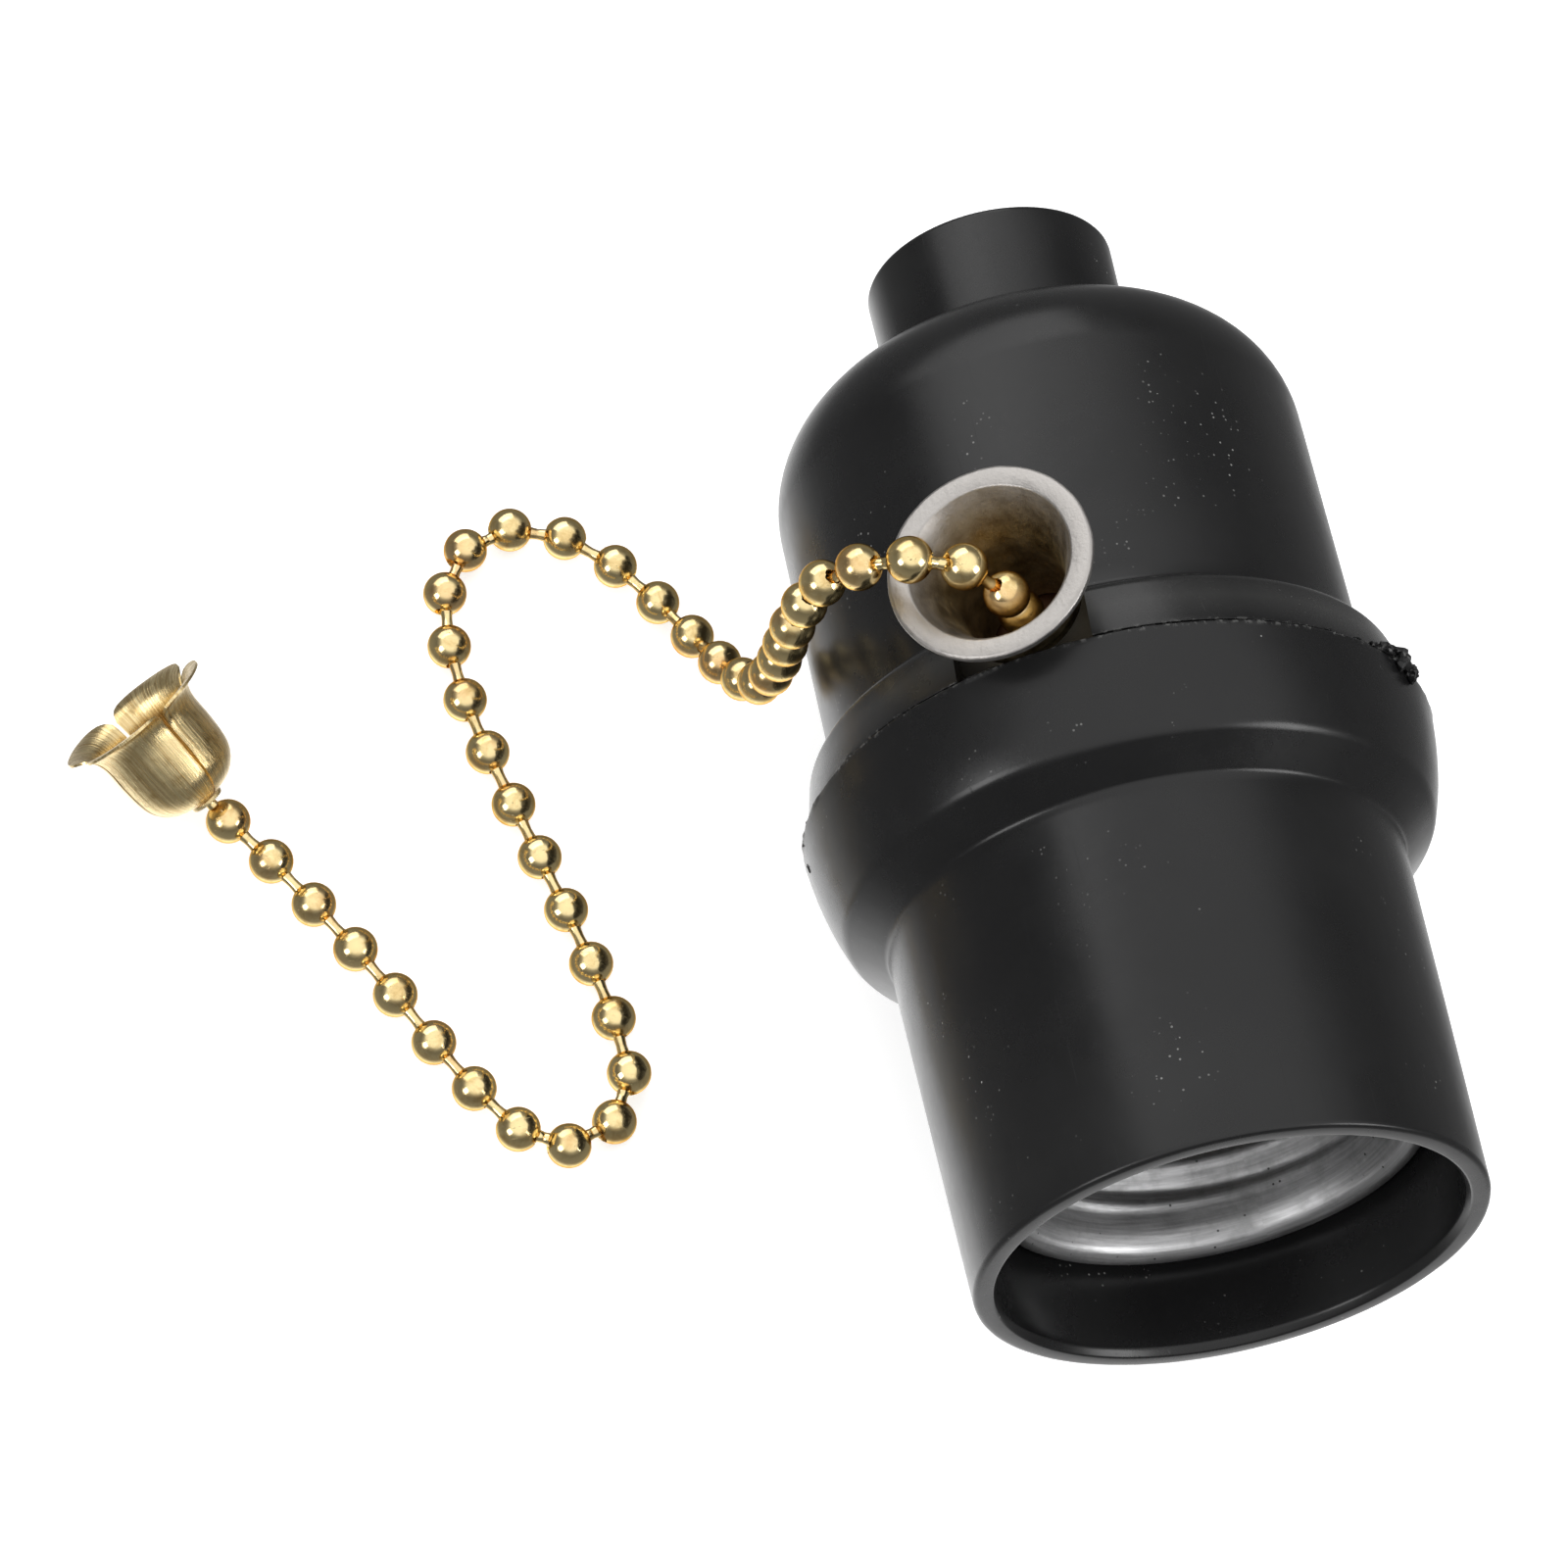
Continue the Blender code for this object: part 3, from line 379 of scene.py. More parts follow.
def rounded(corners, segments=4):
    """Outline in (r, z) from (r, z, fillet) corners; a corner with a fillet becomes a short arc."""
    points = []
    count = len(corners)
    for i, (r, z, fillet) in enumerate(corners):
        here = Vector((r, z))
        if fillet <= 0.0:
            points.append(here)
            continue
        back = Vector(corners[i - 1][:2]) - here
        ahead = Vector(corners[(i + 1) % count][:2]) - here
        start = here + back.normalized() * min(fillet, 0.45 * back.length)
        stop = here + ahead.normalized() * min(fillet, 0.45 * ahead.length)
        for k in range(segments + 1):
            t = k / segments
            points.append((1 - t) ** 2 * start + 2 * t * (1 - t) * here + t * t * stop)
    return points


def ringed(bm, rings, closed_loop=True, closed_turn=True):
    """Skins rows of vertices: each ring is one section, and the rings follow each other."""
    turns = len(rings) if closed_turn else len(rings) - 1
    count = len(rings[0])
    spans = count if closed_loop else count - 1
    for k in range(turns):
        here = rings[k]
        there = rings[(k + 1) % len(rings)]
        for j in range(spans):
            corners = []
            for vert in (here[j], there[j], there[(j + 1) % count], here[(j + 1) % count]):
                if vert not in corners:
                    corners.append(vert)
            if len(corners) > 2:
                bm.faces.new(corners)


def lathe_into(bm, loop_at, steps, turn=None):
    """Adds a solid of revolution round Z; loop_at(angle) lists (r, z) in millimetres."""
    rings = []
    made = []
    for k in range(steps):
        angle = 2 * math.pi * k / steps
        ring = []
        for j, (r, z) in enumerate(loop_at(angle)):
            if r < 1e-6 and rings:
                ring.append(rings[0][j])
            else:
                vert = bm.verts.new((r * MM * math.cos(angle), r * MM * math.sin(angle), z * MM))
                made.append(vert)
                ring.append(vert)
        rings.append(ring)
    ringed(bm, rings)
    if turn is not None:
        bmesh.ops.transform(bm, matrix=turn, verts=made)
    return made


def keep_own_coords(mesh):
    spots = np.empty(3 * len(mesh.vertices), dtype=np.float32)
    mesh.vertices.foreach_get("co", spots)
    mesh.attributes.new(OWN_COORDS, "FLOAT_VECTOR", "POINT").data.foreach_set("vector", spots)


def cut_mesh(mesh, tools):
    """Subtracts bmesh cutters from a mesh, all in the same coordinates."""
    body = bpy.data.objects.new("body", mesh)
    bpy.context.scene.collection.objects.link(body)
    blocks = []
    for bm in tools:
        bmesh.ops.recalc_face_normals(bm, faces=bm.faces)
        tool_mesh = bpy.data.meshes.new("tool")
        bm.to_mesh(tool_mesh)
        bm.free()
        tool = bpy.data.objects.new("tool", tool_mesh)
        bpy.context.scene.collection.objects.link(tool)
        blocks.append(tool)
        modifier = body.modifiers.new("cut", "BOOLEAN")
        modifier.operation = "DIFFERENCE"
        modifier.solver = "EXACT"
        modifier.object = tool
    bpy.context.view_layer.update()
    result = bpy.data.meshes.new_from_object(body.evaluated_get(bpy.context.evaluated_depsgraph_get()))
    for block in blocks + [body]:
        bpy.data.objects.remove(block)
    return result


def piece(name, bm, look, body, where=None, sharp=38.0, weighted=True, cuts=()):
    """Makes a finished object from a bmesh drawn in the coordinates of where."""
    bmesh.ops.recalc_face_normals(bm, faces=bm.faces)
    mesh = bpy.data.meshes.new(name)
    bm.to_mesh(mesh)
    bm.free()
    if cuts:
        mesh = cut_mesh(mesh, cuts)
        mesh.name = name
    keep_own_coords(mesh)
    mesh.transform(HOLDER if where is None else where)
    mesh.shade_smooth()
    mesh.set_sharp_from_angle(angle=math.radians(sharp))
    obj = bpy.data.objects.new(name, mesh)
    bpy.context.scene.collection.objects.link(obj)
    mesh.materials.clear()
    mesh.materials.append(LOOKS[look])
    if weighted:
        modifier = obj.modifiers.new("weighted_normals", "WEIGHTED_NORMAL")
        modifier.keep_sharp = True
    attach(obj, body)
    return obj


def box_bmesh(low, high, turn=None):
    """A box with corners low and high, in millimetres."""
    bm = bmesh.new()
    bmesh.ops.create_cube(bm, size=1.0)
    size = [(b - a) * MM for a, b in zip(low, high)]
    middle = [(a + b) / 2 * MM for a, b in zip(low, high)]
    matrix = Matrix.Translation(middle) @ Matrix.Diagonal((*size, 1.0))
    bmesh.ops.transform(bm, matrix=matrix if turn is None else turn @ matrix, verts=bm.verts)
    return bm


# ---------------------------------------------------------------- lower shell

SHELL_STEPS = 420


def tab_weight(angle, flat, reach):
    """1 over the middle of both tabs, falling to 0 away from them; flat and reach in degrees."""
    off = (math.degrees(angle) - TAB_AT + 90.0) % 180.0 - 90.0
    return smoothstep(1.0 - (abs(off) - flat) / reach)


def seam_flash(angle, seed):
    """Height of the ragged moulding flash along a seam, from 0 to 1."""
    tall = max(0.0, ring_jitter(angle, 9.0, seed, 4)) ** 1.5
    return tall + 0.35 * abs(ring_jitter(angle, 60.0, seed + 3, 2))


# Cone of the shoulder under the collar, (r, z, fillet).
SHOULDER = [(18.72, 26.95, 0.3), (21.4, 29.15, 0.45), (22.15, 31.3, 1.2), (22.7, 33.9, 1.2)]


def lower_loop(angle):
    pocket = 0.9 * smoothstep(tab_weight(angle, 9.0, 7.0))
    flash = seam_flash(angle, 1.0)
    wave = 0.03 * ring_jitter(angle, 3.0, 9.0)
    corners = [
        (BORE_R + 0.45, 0.0, 0.12),
        (SKIRT_R + wave, 0.0, 0.4),
        (SKIRT_R + 0.3, 14.0, 0.0),
        (SKIRT_TOP_R, 26.3, 0.0),
    ]
    corners += SHOULDER
    corners += [
        (COLLAR_R, SEAM_Z - 0.45, 0.1),
        (COLLAR_R + 0.14 * flash, SEAM_Z - 0.12, 0.05),
        (COLLAR_R - 0.12, SEAM_Z + 0.16 * flash - 0.02, 0.05),
        (COLLAR_R - 0.45, SEAM_Z, 0.1),
        (21.0 + pocket, SEAM_Z, 0.1),
        (21.0 + pocket, SEAM_Z - 2.9, 0.0),
        (21.0, SEAM_Z - 3.0, 0.0),
        (20.85, 31.2, 0.0),
        (16.9, 31.2, 0.0),
        (16.6, 30.0, 0.0),
        (16.45, 15.0, 0.0),
        (BORE_R + 0.05, 1.2, 0.3),
        (BORE_R + 0.1, 0.55, 0.15),
    ]
    return rounded(corners)


bm = bmesh.new()
lathe_into(bm, lower_loop, SHELL_STEPS)
lower = piece("lower_shell_moulding", bm, "black_shell", "holder")
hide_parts("lower_shell")


# ---------------------------------------------------------------- upper shell


def dome_arc(radius, corner, z, steps):
    """Quarter round from the side wall to the flat top."""
    points = []
    for i in range(steps + 1):
        turn = math.pi / 2 * i / steps
        points.append((radius - corner * (1 - math.cos(turn)), z + corner * math.sin(turn), 0.0))
    return points


def upper_loop(angle):
    tab = 0.85 * smoothstep(tab_weight(angle, 3.0, 7.0))
    flash = seam_flash(angle, 4.0)
    ring = max(0.0, ring_jitter(angle, 14.0, 6.0, 3) + 0.1)
    crumbs = max(0.0, ring_jitter(angle, 22.0, 8.0, 3) - 0.05)
    seat = SEAM_Z + SEAM_GAP
    corners = [
        (18.9, 34.6, 0.0),
        (20.4, 34.6, 0.15),
        (20.6 + tab, 34.9, 0.0),
        (20.6 + tab, seat - 0.4, 0.0),
        (20.6 + tab, seat, 0.0),
        (FLANGE_R - 0.25, seat, 0.05),
        (FLANGE_R + 0.04 + 0.08 * flash, seat + 0.06, 0.04),
        (FLANGE_R - 0.02, seat + 0.45, 0.1),
        (FLANGE_TOP_R + 0.1, FLANGE_TOP_Z - 0.55, 0.4),
        (FLANGE_TOP_R - 0.55, FLANGE_TOP_Z, 0.35),
        (BODY_R + 0.65, FLANGE_TOP_Z + 0.12, 0.3),
        (BODY_R + 0.02, FLANGE_TOP_Z + 0.75, 0.3),
        (BODY_R, FLANGE_TOP_Z + 2.2, 0.0),
        (BODY_R, 52.0, 0.0),
    ]
    corners += dome_arc(BODY_R, DOME_CORNER, DOME_Z, 20)
    flat = BODY_R - DOME_CORNER
    corners += [
        (flat - 0.1, DOME_TOP_Z + 0.02 + 0.22 * ring, 0.0),
        (flat - 0.3, DOME_TOP_Z + 0.02, 0.0),
        (NECK_R + 0.55, DOME_TOP_Z + 0.03, 0.1),
        (NECK_R + 0.38, DOME_TOP_Z + 0.1 + 0.3 * crumbs, 0.04),
        (NECK_R + 0.2, DOME_TOP_Z + 0.08, 0.08),
        (NECK_R + 0.01, DOME_TOP_Z + 0.5, 0.2),
        (NECK_TOP_R, NECK_TOP_Z, 0.45),
        (6.8, NECK_TOP_Z, 0.2),
        (6.5, NECK_TOP_Z - 0.4, 0.1),
        (6.5, 69.34, 0.0),
    ]
    corners += [(r, z, 0.0) for r, z, fillet in reversed(dome_arc(17.7, 6.9, DOME_Z - 0.2, 6))]
    corners += [(17.75, 43.0, 0.0), (18.9, 38.5, 0.0)]
    return rounded(corners)


def rod_bmesh(radius, start, stop, direction, at, steps=48):
    """A plain rod along local X or Z through a point, in millimetres."""
    turn = Matrix.Translation(Vector(at) * MM)
    if direction == "X":
        turn = turn @ Matrix.Rotation(math.pi / 2, 4, "Y")
    bm = bmesh.new()
    lathe_into(bm, lambda angle: [(0.0, start), (radius, start), (radius, stop), (0.0, stop)], steps, turn)
    return bm


bm = bmesh.new()
lathe_into(bm, upper_loop, SHELL_STEPS)
guide_hole = rod_bmesh(4.75, 12.0, 25.0, "X", (0.0, 0.0, GUIDE_Z))
notch_low = (BODY_R + 0.2, -NOTCH_HALF, SEAM_Z - 1.0)
flange_notch = box_bmesh(notch_low, (25.0, NOTCH_HALF, FLANGE_TOP_Z + 1.0))
upper = piece("upper_shell_moulding", bm, "black_shell", "holder", cuts=[guide_hole, flange_notch])
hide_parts("upper_shell")


# ---------------------------------------------------------------- scraps of moulding flash

# Each scrap: local angle in degrees, station and radius of its middle, then its size outwards,
# around and along the axis, in millimetres.
SCRAPS = [
    (78.0, 36.6, 23.1, 1.7, 1.9, 1.5), (74.5, 36.9, 22.9, 1.1, 2.2, 0.8),
    (81.0, 36.0, 23.1, 1.1, 1.3, 1.2), (70.0, 36.85, 22.7, 0.6, 1.3, 0.4),
    (66.0, 36.9, 22.6, 0.35, 0.7, 0.2), (58.0, 36.8, 22.65, 0.3, 0.8, 0.2),
    (-62.0, 36.5, 22.75, 0.35, 1.1, 0.3), (-68.0, 36.2, 22.8, 0.45, 0.8, 0.5),
    (-71.0, 35.0, 22.75, 0.3, 0.5, 0.8), (-40.0, 36.7, 22.7, 0.3, 0.9, 0.2),
    (150.0, 36.7, 22.7, 0.4, 0.9, 0.25), (-130.0, 36.7, 22.7, 0.35, 1.2, 0.25),
    (-34.0, 71.2, 10.1, 0.3, 0.7, 0.2), (-52.0, 71.2, 9.9, 0.35, 0.6, 0.25),
    (40.0, 71.2, 10.2, 0.3, 0.8, 0.18), (10.0, 71.2, 10.6, 0.25, 0.6, 0.15),
]


def add_scrap(bm, seed, angle, z, radius, outward, around, along):
    """A torn crumb of plastic, half sunk into the shell."""
    made = bmesh.ops.create_icosphere(bm, subdivisions=3, radius=1.0)["verts"]
    for vert in made:
        rough = 1.0 + 0.55 * noise.fractal(vert.co * 1.6 + Vector((seed * 3.7, 0.0, 0.0)), 0.7, 2.0, 4)
        vert.co = Vector((vert.co.x * outward, vert.co.y * around, vert.co.z * along)) * rough * 0.5 * MM
    turn = Matrix.Rotation(math.radians(angle), 4, "Z") @ Matrix.Translation((radius * MM, 0.0, z * MM))
    bmesh.ops.transform(bm, matrix=turn, verts=made)


bm = bmesh.new()
for seed, scrap in enumerate(SCRAPS):
    add_scrap(bm, seed, *scrap)
piece("flash_scraps", bm, "black_shell", "holder", sharp=25.0, weighted=False)


# ---------------------------------------------------------------- lamp screw shell

PITCH = 3.629
THREAD_MAJOR = 13.35
THREAD_MINOR = 12.25
SHEET = 0.4
RIM_Z = 6.5
RIM_R = 15.7
FLOOR_Z = 30.9


def screw_shell_loop(angle):
    samples = 84
    start = RIM_Z + 3.0
    stop = FLOOR_Z - 2.4
    inner = []
    for i in range(samples + 1):
        z = start + (stop - start) * i / samples
        wave = 0.5 + 0.5 * math.cos(2 * math.pi * z / PITCH - angle)
        fade = smoothstep((z - start) / 1.8) * smoothstep((stop - z) / 1.8)
        inner.append((THREAD_MAJOR - (THREAD_MAJOR - THREAD_MINOR) * wave ** 0.85 * fade, z))
    wobble = 0.04 * ring_jitter(angle, 4.0, 2.0)
    rim = [
        (RIM_R - 0.35, RIM_Z + 1.7, 0.0),
        (RIM_R + wobble, RIM_Z + 0.95, 0.3),
        (RIM_R - 0.2 + wobble, RIM_Z + 0.15, 0.3),
        (RIM_R - 0.9, RIM_Z - 0.02 + wobble, 0.35),
        (RIM_R - 1.7, RIM_Z + 0.45, 0.4),
        (RIM_R - 2.2, RIM_Z + 1.7, 0.5),
    ]
    floor = [
        (THREAD_MAJOR - 0.3, FLOOR_Z - 1.0, 0.2),
        (THREAD_MAJOR - 1.0, FLOOR_Z - SHEET, 0.2),
        (6.4, FLOOR_Z - SHEET, 0.05),
        (6.4, FLOOR_Z, 0.05),
        (THREAD_MAJOR - 0.7, FLOOR_Z, 0.2),
        (THREAD_MAJOR + 0.1, FLOOR_Z - 0.9, 0.2),
    ]
    hem = [
        (RIM_R - 1.8, RIM_Z + 1.8, 0.2),
        (RIM_R - 1.25, RIM_Z + 0.9, 0.15),
        (RIM_R - 0.8, RIM_Z + 1.5, 0.0),
    ]
    inner = [(r, z, 0.0) for r, z in inner]
    outer = [(r + SHEET, z, 0.0) for r, z, fillet in reversed(inner)]
    return rounded(rim + inner + floor + outer + hem)


bm = bmesh.new()
lathe_into(bm, screw_shell_loop, 144)
thread = piece("screw_shell_sheet", bm, "aluminium_sheet", "holder", weighted=False)
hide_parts("screw_shell")


# ---------------------------------------------------------------- centre contact

CONTACT_HALF = 1.9
TONGUE = [
    (-2.0, 30.9), (-2.0, 30.3), (2.6, 30.3), (4.6, 30.1), (5.2, 29.6), (5.35, 29.0),
    (5.2, 28.4), (4.8, 28.1), (1.2, 27.3), (-2.4, 26.6), (-2.3, 26.1), (1.3, 26.8),
    (5.1, 27.6), (5.75, 28.2), (5.95, 29.0), (5.7, 29.9), (5.3, 30.5), (2.7, 30.9),
]


def strip_bmesh(outline, half):
    """A bent strip: an outline in local (y, z) millimetres, as wide as twice half along local X."""
    bm = bmesh.new()
    sides = []
    for x in (-half, half):
        sides.append([bm.verts.new((x * MM, y * MM, z * MM)) for y, z in outline])
    bm.faces.new(sides[0])
    bm.faces.new(list(reversed(sides[1])))
    for i in range(len(outline)):
        j = (i + 1) % len(outline)
        bm.faces.new([sides[0][i], sides[1][i], sides[1][j], sides[0][j]])
    return bm


bm = strip_bmesh(TONGUE, CONTACT_HALF)
contact = piece("centre_contact_strip", bm, "brass_part", "holder", weighted=False)
edges = contact.modifiers.new("soft_edges", "BEVEL")
edges.width = 0.12 * MM
edges.segments = 2
edges.limit_method = "ANGLE"
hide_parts("centre_contact")


# ---------------------------------------------------------------- neck bush

BUSH_BORE = 4.45
BUSH_PITCH = 1.0


def neck_bush_loop(angle):
    bore = []
    for i in range(61):
        z = 80.0 - 11.0 * i / 60
        ridge = abs(((z / BUSH_PITCH - angle / (2 * math.pi)) % 1.0) - 0.5) * 2
        bore.append((BUSH_BORE + 0.3 * ridge, z, 0.0))
    knurl = 0.12 * math.cos(28 * angle)
    body = [
        (BUSH_BORE, 68.6, 0.0), (7.6, 68.6, 0.15), (7.6, 69.0, 0.15), (6.2, 69.05, 0.0),
        (6.08 + knurl, 69.3, 0.0), (6.08 + knurl, 74.0, 0.0), (5.8, 74.3, 0.0), (5.8, 75.3, 0.0),
        (6.08 + knurl, 75.6, 0.0), (6.2, 80.3, 0.0), (5.9, 80.6, 0.1), (4.95, 80.6, 0.1),
    ]
    return rounded(body + bore)


bm = bmesh.new()
lathe_into(bm, neck_bush_loop, 168)
bush = piece("neck_bush_turned", bm, "brass_part", "holder", weighted=False)
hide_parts("neck_bush")


# ---------------------------------------------------------------- chain guide

GUIDE = HOLDER @ Matrix.Translation((0.0, 0.0, GUIDE_Z * MM)) @ Matrix.Rotation(math.pi / 2, 4, "Y")
STEM_R = 4.5
STEM_BORE = 3.9
GUIDE_R = 7.35


def guide_loop(angle):
    """Section of the guide, (r, distance along its axis): threaded stem, flare and rolled rim."""
    stem = []
    for i in range(37):
        z = 15.4 + 5.4 * i / 36
        ridge = abs(((z / 0.75 - angle / (2 * math.pi)) % 1.0) - 0.5) * 2
        stem.append((STEM_R - 0.14 * ridge, z, 0.0))
    wobble = 0.04 * ring_jitter(angle, 2.0, 5.0)
    corners = [(STEM_BORE, 12.9, 0.0), (STEM_R, 12.9, 0.1)] + stem
    corners += [
        (STEM_R + 0.05, 21.4, 0.2),
        (STEM_R + 0.3, 22.6, 0.5),
        (STEM_R + 1.0, 23.9, 0.5),
        (GUIDE_R - 0.9, 24.95, 0.4),
        (GUIDE_R - 0.05 + wobble, 25.3, 0.15),
        (GUIDE_R + 0.02 + wobble, 25.85, 0.12),
        (GUIDE_R - 0.2 + wobble, GUIDE_RIM_X, 0.1),
        (GUIDE_R - 0.8, GUIDE_RIM_X + 0.03, 0.3),
        (GUIDE_R - 1.5, GUIDE_RIM_X - 0.03, 0.15),
        (STEM_BORE + 1.55, GUIDE_RIM_X - 0.7, 0.4),
        (STEM_BORE + 0.75, GUIDE_RIM_X - 2.6, 0.9),
        (STEM_BORE + 0.15, GUIDE_RIM_X - 4.6, 0.9),
        (STEM_BORE, GUIDE_RIM_X - 6.0, 0.5),
    ]
    return rounded(corners, 5)


bm = bmesh.new()
lathe_into(bm, guide_loop, 120)
guide = piece("chain_guide_flared", bm, "satin_nickel", "holder", GUIDE, sharp=60.0, weighted=False)
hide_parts("chain_guide")


# ---------------------------------------------------------------- bead chain

# The chain's middle line, millimetres: out of the throat, over the rim, down beside the
# holder, then in an S on the surface to the bell. The same points as the CAD tube.
ROUTE = [
    (-11.2, 3.9, 42.3), (-14.7, 5.1, 44.9), (-18.4, 5.6, 45.4), (-21.3, 6.5, 42.8), (-23.1, 7.3, 38.4),
    (-23.3, 8.1, 30.0), (-22.4, 9.5, 21.2), (-22.0, 11.4, 13.0), (-22.5, 14.7, 7.4), (-24.0, 19.7, 3.2),
    (-26.1, 23.7, 1.75), (-29.0, 27.1, 1.65), (-33.0, 29.8, 1.65), (-37.5, 30.3, 1.65), (-41.0, 27.7, 1.65),
    (-42.2, 23.1, 1.65), (-41.5, 16.1, 1.65), (-39.0, 7.1, 1.65), (-36.6, -0.9, 1.65), (-34.7, -8.4, 1.65),
    (-34.1, -13.9, 1.65), (-36.0, -17.5, 1.65), (-39.6, -18.7, 1.65), (-43.0, -16.9, 1.65),
    (-46.8, -11.7, 1.65), (-51.4, -3.9, 1.65), (-56.4, 3.5, 1.7), (-59.6, 7.6, 1.85),
]
BELL_BASE = Vector((-61.9, 9.95, 3.05)) * MM
BELL_AXIS = Vector((-4.6, 5.2, 3.4)).normalized()
# In the throat the chain leans on the side towards the lamp mouth.
THROAT_LEAN = 0.7
ANCHOR = HOLDER @ (Vector((-1.5, 0.0, GUIDE_Z)) * MM)
THROAT = HOLDER @ (Vector((22.0, 0.0, GUIDE_Z - THROAT_LEAN)) * MM)
OUT = (THROAT - ANCHOR).normalized()


def dense_route(points):
    """Catmull-Rom curve through the points, with the distance along it."""
    line = []
    for i in range(len(points) - 1):
        p0 = points[max(i - 1, 0)]
        p1 = points[i]
        p2 = points[i + 1]
        p3 = points[min(i + 2, len(points) - 1)]
        for k in range(24):
            t = k / 24
            pull = (p2 - p0) * t + (2 * p0 - 5 * p1 + 4 * p2 - p3) * t * t
            line.append(0.5 * (2 * p1 + pull + (3 * p1 - p0 - 3 * p2 + p3) * t ** 3))
    line.append(points[-1])
    lengths = [0.0]
    for a, b in zip(line, line[1:]):
        lengths.append(lengths[-1] + (b - a).length)
    return line, lengths


def at_length(line, lengths, want):
    for j in range(len(line) - 1):
        if lengths[j + 1] >= want:
            part = (want - lengths[j]) / (lengths[j + 1] - lengths[j])
            return line[j].lerp(line[j + 1], max(part, 0.0))
    return line[-1]


start = ANCHOR + OUT * 2.1 * MM
inside = [start + (THROAT - start) * i / 3 for i in range(4)]
route = inside + [Vector(point) * MM for point in ROUTE] + [BELL_BASE - BELL_AXIS * 0.9 * MM]
chain_line, chain_lengths = dense_route(route)
# Distance from the end of the route to the bead before the bell.
LAST_BEAD = 1.2 * MM


def bend_at(spot):
    """Curvature of the chain's middle line, per millimetre, averaged over one pitch."""
    reach = BEAD_PITCH / 2 * MM
    a, b, c = (at_length(chain_line, chain_lengths, max(spot + step, 0.0)) for step in (-reach, 0.0, reach))
    if (b - a).length < 0.1 * reach or (c - b).length < 0.1 * reach:
        return 0.0
    return (b - a).angle(c - b) / (reach / MM)


bead_spots = []
spot = chain_lengths[-1] - LAST_BEAD
while spot > 0.0:
    bead_spots.append(at_length(chain_line, chain_lengths, spot))
    spot -= (BEAD_PITCH - BEAD_CRAMP * bend_at(spot - BEAD_PITCH / 2 * MM)) * MM

# Where the links enter a bead: its hole, and the distance of a link's end from the middle.
HOLE_R = 0.52
LINK_START = 0.9 * MM


def bead_loop(seed):
    """Rolled bead with a crimped hole at both ends; gives its outline as a function of the angle."""

    def loop(angle):
        crimp = 0.1 * ring_jitter(angle, 2.0, seed, 2)
        hole = HOLE_R + crimp
        start = math.asin(hole / BEAD_R)
        points = [(hole * 0.9, -0.85), (hole * 0.82, -1.2)]
        for k in range(15):
            turn = start + (math.pi - 2 * start) * k / 14
            points.append((BEAD_R * math.sin(turn), -BEAD_R * math.cos(turn)))
        points += [(hole * 0.82, 1.2), (hole * 0.9, 0.85)]
        return points

    return loop


def turned_to(spot, heading):
    return Matrix.Translation(spot) @ UP.rotation_difference(heading).to_matrix().to_4x4()


def add_link(bm, start, stop):
    """A thin wire link, a little thicker where it enters each bead."""
    span = (stop - start).length / MM
    loop = [(0.0, 0.0), (0.5, 0.1), (0.46, 0.7), (0.42, 1.0), (0.4, span / 2), (0.42, span - 1.0)]
    loop += [(0.46, span - 0.7), (0.5, span - 0.1), (0.0, span)]
    lathe_into(bm, lambda angle: loop, 10, turned_to(start, (stop - start).normalized()))


bm = bmesh.new()
for i, spot in enumerate(bead_spots):
    before = bead_spots[max(i - 1, 0)]
    after = bead_spots[min(i + 1, len(bead_spots) - 1)]
    lathe_into(bm, bead_loop(float(i)), 28, turned_to(spot, (after - before).normalized()))
for a, b in zip(bead_spots, bead_spots[1:]):
    heading = (b - a).normalized()
    add_link(bm, a + heading * LINK_START, b - heading * LINK_START)
heading = (BELL_BASE - bead_spots[0]).normalized()
add_link(bm, bead_spots[0] + heading * LINK_START, BELL_BASE + BELL_AXIS * 0.8 * MM)
add_link(bm, bead_spots[-1] - OUT * LINK_START, ANCHOR + OUT * 1.0 * MM)
chain = piece("bead_chain", bm, "bead_chain", "chain", Matrix.Identity(4), sharp=50.0, weighted=False)
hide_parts("pull_chain")


# ---------------------------------------------------------------- bell pull

BELL_SHEET = 0.2
PETALS = 4
# Wall of the bell, (r, height) in millimetres from the base to the petal's tip.
BELL_WALL = [
    (1.0, 0.5), (1.9, 0.6), (2.75, 0.95), (3.45, 1.6), (3.95, 2.5), (4.17, 3.7), (4.25, 5.1), (4.25, 6.5),
    (4.42, 7.4), (4.8, 8.05), (5.45, 8.4), (6.15, 8.5),
]
BELL_ROLL = math.radians(39.0)


def spline_through(points, steps):
    """Evenly spaced points on a smooth curve through (r, z) points."""
    line, lengths = dense_route([Vector((r, z, 0.0)) for r, z in points])
    return [at_length(line, lengths, lengths[-1] * i / steps) for i in range(steps + 1)]


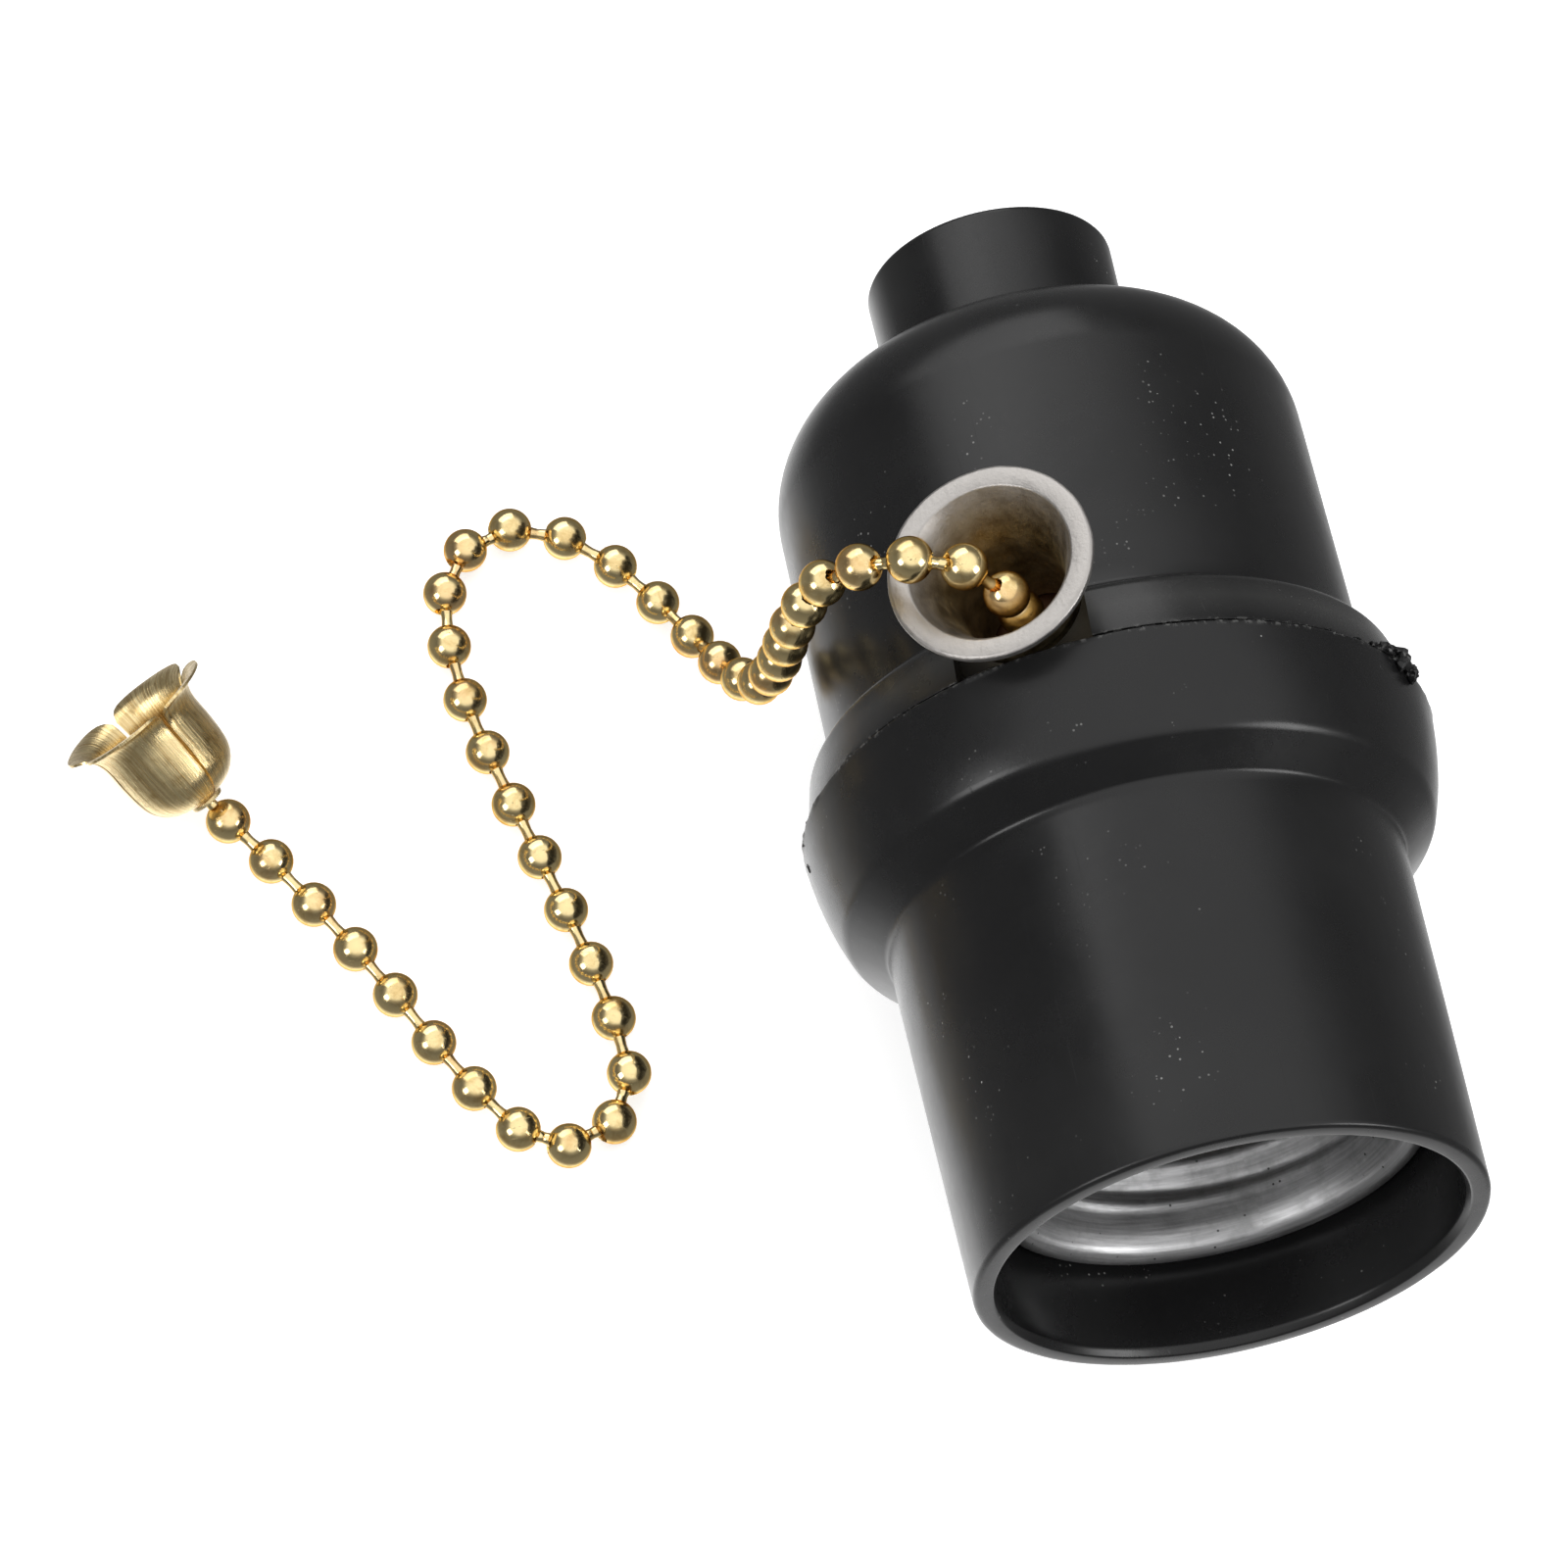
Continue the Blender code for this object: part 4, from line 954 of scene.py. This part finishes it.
def petal_grid(bm, centre, wall, across):
    """One petal: rows up the wall, columns across, both faces of the sheet."""
    rows = []
    top = len(wall) - 1
    for i, point in enumerate(wall):
        ahead = wall[min(i + 1, top)] - wall[max(i - 1, 0)]
        inward = Vector((-ahead.y, ahead.x, 0.0)).normalized()
        rows.append((point, inward))
    rings = []
    for j in range(across + 1):
        u = -1.0 + 2.0 * j / across
        column = []
        reach = 1.0 - 0.15 * abs(u) ** 4.5
        for side in (0.0, 1.0):
            strip = []
            for i in range(top + 1):
                share = i / top
                where = share * (1.0 + (reach - 1.0) * smoothstep((share - 0.45) / 0.5))
                low = min(int(where * top), top - 1)
                part = where * top - low
                point = rows[low][0].lerp(rows[low + 1][0], part)
                inward = rows[low][1].lerp(rows[low + 1][1], part)
                point = point + inward * side * BELL_SHEET
                gap = 0.05 + 0.09 * smoothstep((share - 0.1) / 0.5) + 0.02 * smoothstep((share - 0.8) / 0.2)
                half = math.pi / PETALS - gap / max(point.x, 0.8)
                angle = centre + half * u
                flat = 1.0 - 0.02 * (1 - u * u) * smoothstep((share - 0.25) / 0.3)
                strip.append((point.x * flat * math.cos(angle), point.x * flat * math.sin(angle), point.y))
            column.append(strip)
        outline = column[0] + list(reversed(column[1]))
        rings.append([bm.verts.new(Vector(p) * MM) for p in outline])
    ringed(bm, rings, True, False)
    bm.faces.new(rings[0])
    bm.faces.new(list(reversed(rings[-1])))


bell_wall = spline_through(BELL_WALL, 40)
bm = bmesh.new()
for k in range(PETALS):
    petal_grid(bm, BELL_ROLL + 2 * math.pi * (k + 0.5) / PETALS, bell_wall, 22)
washer = [(0.55, 0.02), (1.25, 0.05), (1.3, 0.2), (1.25, 0.34), (0.55, 0.36)]
lathe_into(bm, lambda angle: washer, 32)
bell = piece("bell_petals", bm, "bell_brass", "chain", turned_to(BELL_BASE, BELL_AXIS), sharp=45.0)
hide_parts("bell_pull")

bm = bmesh.new()
lathe_into(bm, bead_loop(77.0), 28)
last_at = turned_to(BELL_BASE + BELL_AXIS * 2.5 * MM, BELL_AXIS)
last = piece("last_bead", bm, "bead_chain", "chain", last_at, sharp=50.0, weighted=False)
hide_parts("end_bead")


# ---------------------------------------------------------------- floor, light and camera


def staged(name, bm, mat):
    """A piece of the studio: seen by the camera, but not mirrored in the object."""
    mesh = bpy.data.meshes.new(name)
    bm.to_mesh(mesh)
    bm.free()
    mesh.materials.append(mat)
    obj = bpy.data.objects.new(name, mesh)
    bpy.context.scene.collection.objects.link(obj)
    obj.visible_glossy = False
    return obj


def floor():
    """A pale table that glows a little, which keeps the shadows faint."""
    mat = new_material("pale_floor", (0.88, 0.88, 0.88), 0.0, 0.75)
    tone = cloud(mat, place(mat), 14.0, 2.0)
    plug(mat, "Base Color", blend_colors(mat, tone, (0.87, 0.87, 0.87), (0.9, 0.9, 0.9)))
    shader = mat.node_tree.nodes["Principled BSDF"]
    shader.inputs["Emission Color"].default_value = (1.0, 1.0, 1.0, 1.0)
    shader.inputs["Emission Strength"].default_value = 0.6
    bm = bmesh.new()
    bmesh.ops.create_grid(bm, x_segments=1, y_segments=1, size=4.0)
    bmesh.ops.translate(bm, verts=bm.verts, vec=(0.0, 0.0, -0.05 * MM))
    staged("floor", bm, mat)


def backdrop():
    """A round white wall far behind the table; the lights shine through it."""
    mat = new_material("pale_wall", (0.88, 0.88, 0.88), 0.0, 0.9)
    shader = mat.node_tree.nodes["Principled BSDF"]
    shader.inputs["Emission Color"].default_value = (1.0, 1.0, 1.0, 1.0)
    shader.inputs["Emission Strength"].default_value = 0.9
    bm = bmesh.new()
    bmesh.ops.create_cone(bm, segments=64, radius1=3.9, radius2=3.9, depth=6.0)
    bmesh.ops.translate(bm, verts=bm.verts, vec=(0.0, 0.0, 2.99))
    obj = staged("backdrop", bm, mat)
    obj.visible_diffuse = False
    obj.visible_shadow = False


SOFTBOX_DISTANCE = 0.8


def softbox(name, towards, size, power, target):
    """A square or oblong light panel that faces the target; towards is the way to it from there."""
    light = bpy.data.lights.new(name, "AREA")
    light.shape = "RECTANGLE"
    light.size = size[0]
    light.size_y = size[1]
    light.energy = power
    obj = bpy.data.objects.new(name, light)
    bpy.context.scene.collection.objects.link(obj)
    obj.location = target + Vector(towards).normalized() * SOFTBOX_DISTANCE
    obj.rotation_euler = Vector(towards).to_track_quat("Z", "Y").to_euler()


# Brightness of the surroundings against the sine of the elevation: a wide overhead light,
# dim walls, and a bright ground that only grazing reflections reach.
WORLD_LEVELS = [
    (-1.0, 1.7), (-0.87, 1.6), (-0.79, 0.9), (-0.6, 0.24), (-0.1, 0.19), (0.3, 0.14), (0.54, 0.3),
    (0.72, 1.05), (1.0, 1.2),
]


def studio_world():
    """Sky made of level rings."""
    world = bpy.data.worlds.new("studio")
    world.use_nodes = True
    tree = world.node_tree
    tree.nodes["Background"].inputs["Strength"].default_value = 1.0
    coords = tree.nodes.new("ShaderNodeTexCoord")
    split = tree.nodes.new("ShaderNodeSeparateXYZ")
    height = tree.nodes.new("ShaderNodeMapRange")
    height.inputs["From Min"].default_value = -1.0
    ramp = tree.nodes.new("ShaderNodeValToRGB")
    tree.links.new(coords.outputs["Generated"], split.inputs[0])
    tree.links.new(split.outputs[2], height.inputs["Value"])
    tree.links.new(height.outputs[0], ramp.inputs[0])
    tree.links.new(ramp.outputs[0], tree.nodes["Background"].inputs["Color"])
    steps = ramp.color_ramp.elements
    for index, (z, level) in enumerate(WORLD_LEVELS):
        if index > 1:
            steps.new((z + 1.0) / 2.0)
        steps[index].position = (z + 1.0) / 2.0
        steps[index].color = (level, level, level, 1.0)
    bpy.context.scene.world = world


floor()
backdrop()
studio_world()
middle = (cad_box[0] + cad_box[1]) / 2
softbox("left_softbox", (-0.843, -0.322, 0.45), (0.3, 0.3), 1.6, middle)
softbox("right_softbox", (0.70, -0.50, 0.52), (0.3, 0.3), 1.8, middle)
softbox("back_softbox", (-0.25, 0.8, 0.5), (0.9, 0.5), 2.2, middle)

CAMERA_AT = Vector((-0.1183, -0.1535, 0.3974))
CAMERA_RIGHT = Vector((0.97016, -0.16676, 0.17601))
CAMERA_DOWN = Vector((-0.08566, -0.91484, -0.39463))
camera_data = bpy.data.cameras.new("camera")
camera_data.lens = 135.0
camera_data.sensor_width = 36.0
camera_data.clip_start = 0.01
camera_data.clip_end = 20.0
camera = bpy.data.objects.new("camera", camera_data)
bpy.context.scene.collection.objects.link(camera)
back = CAMERA_RIGHT.cross(-CAMERA_DOWN)
turn = Matrix((CAMERA_RIGHT, -CAMERA_DOWN, back)).transposed().to_4x4()
camera.matrix_world = Matrix.Translation(CAMERA_AT) @ turn
bpy.context.scene.camera = camera
bpy.context.scene.view_settings.view_transform = "Standard"
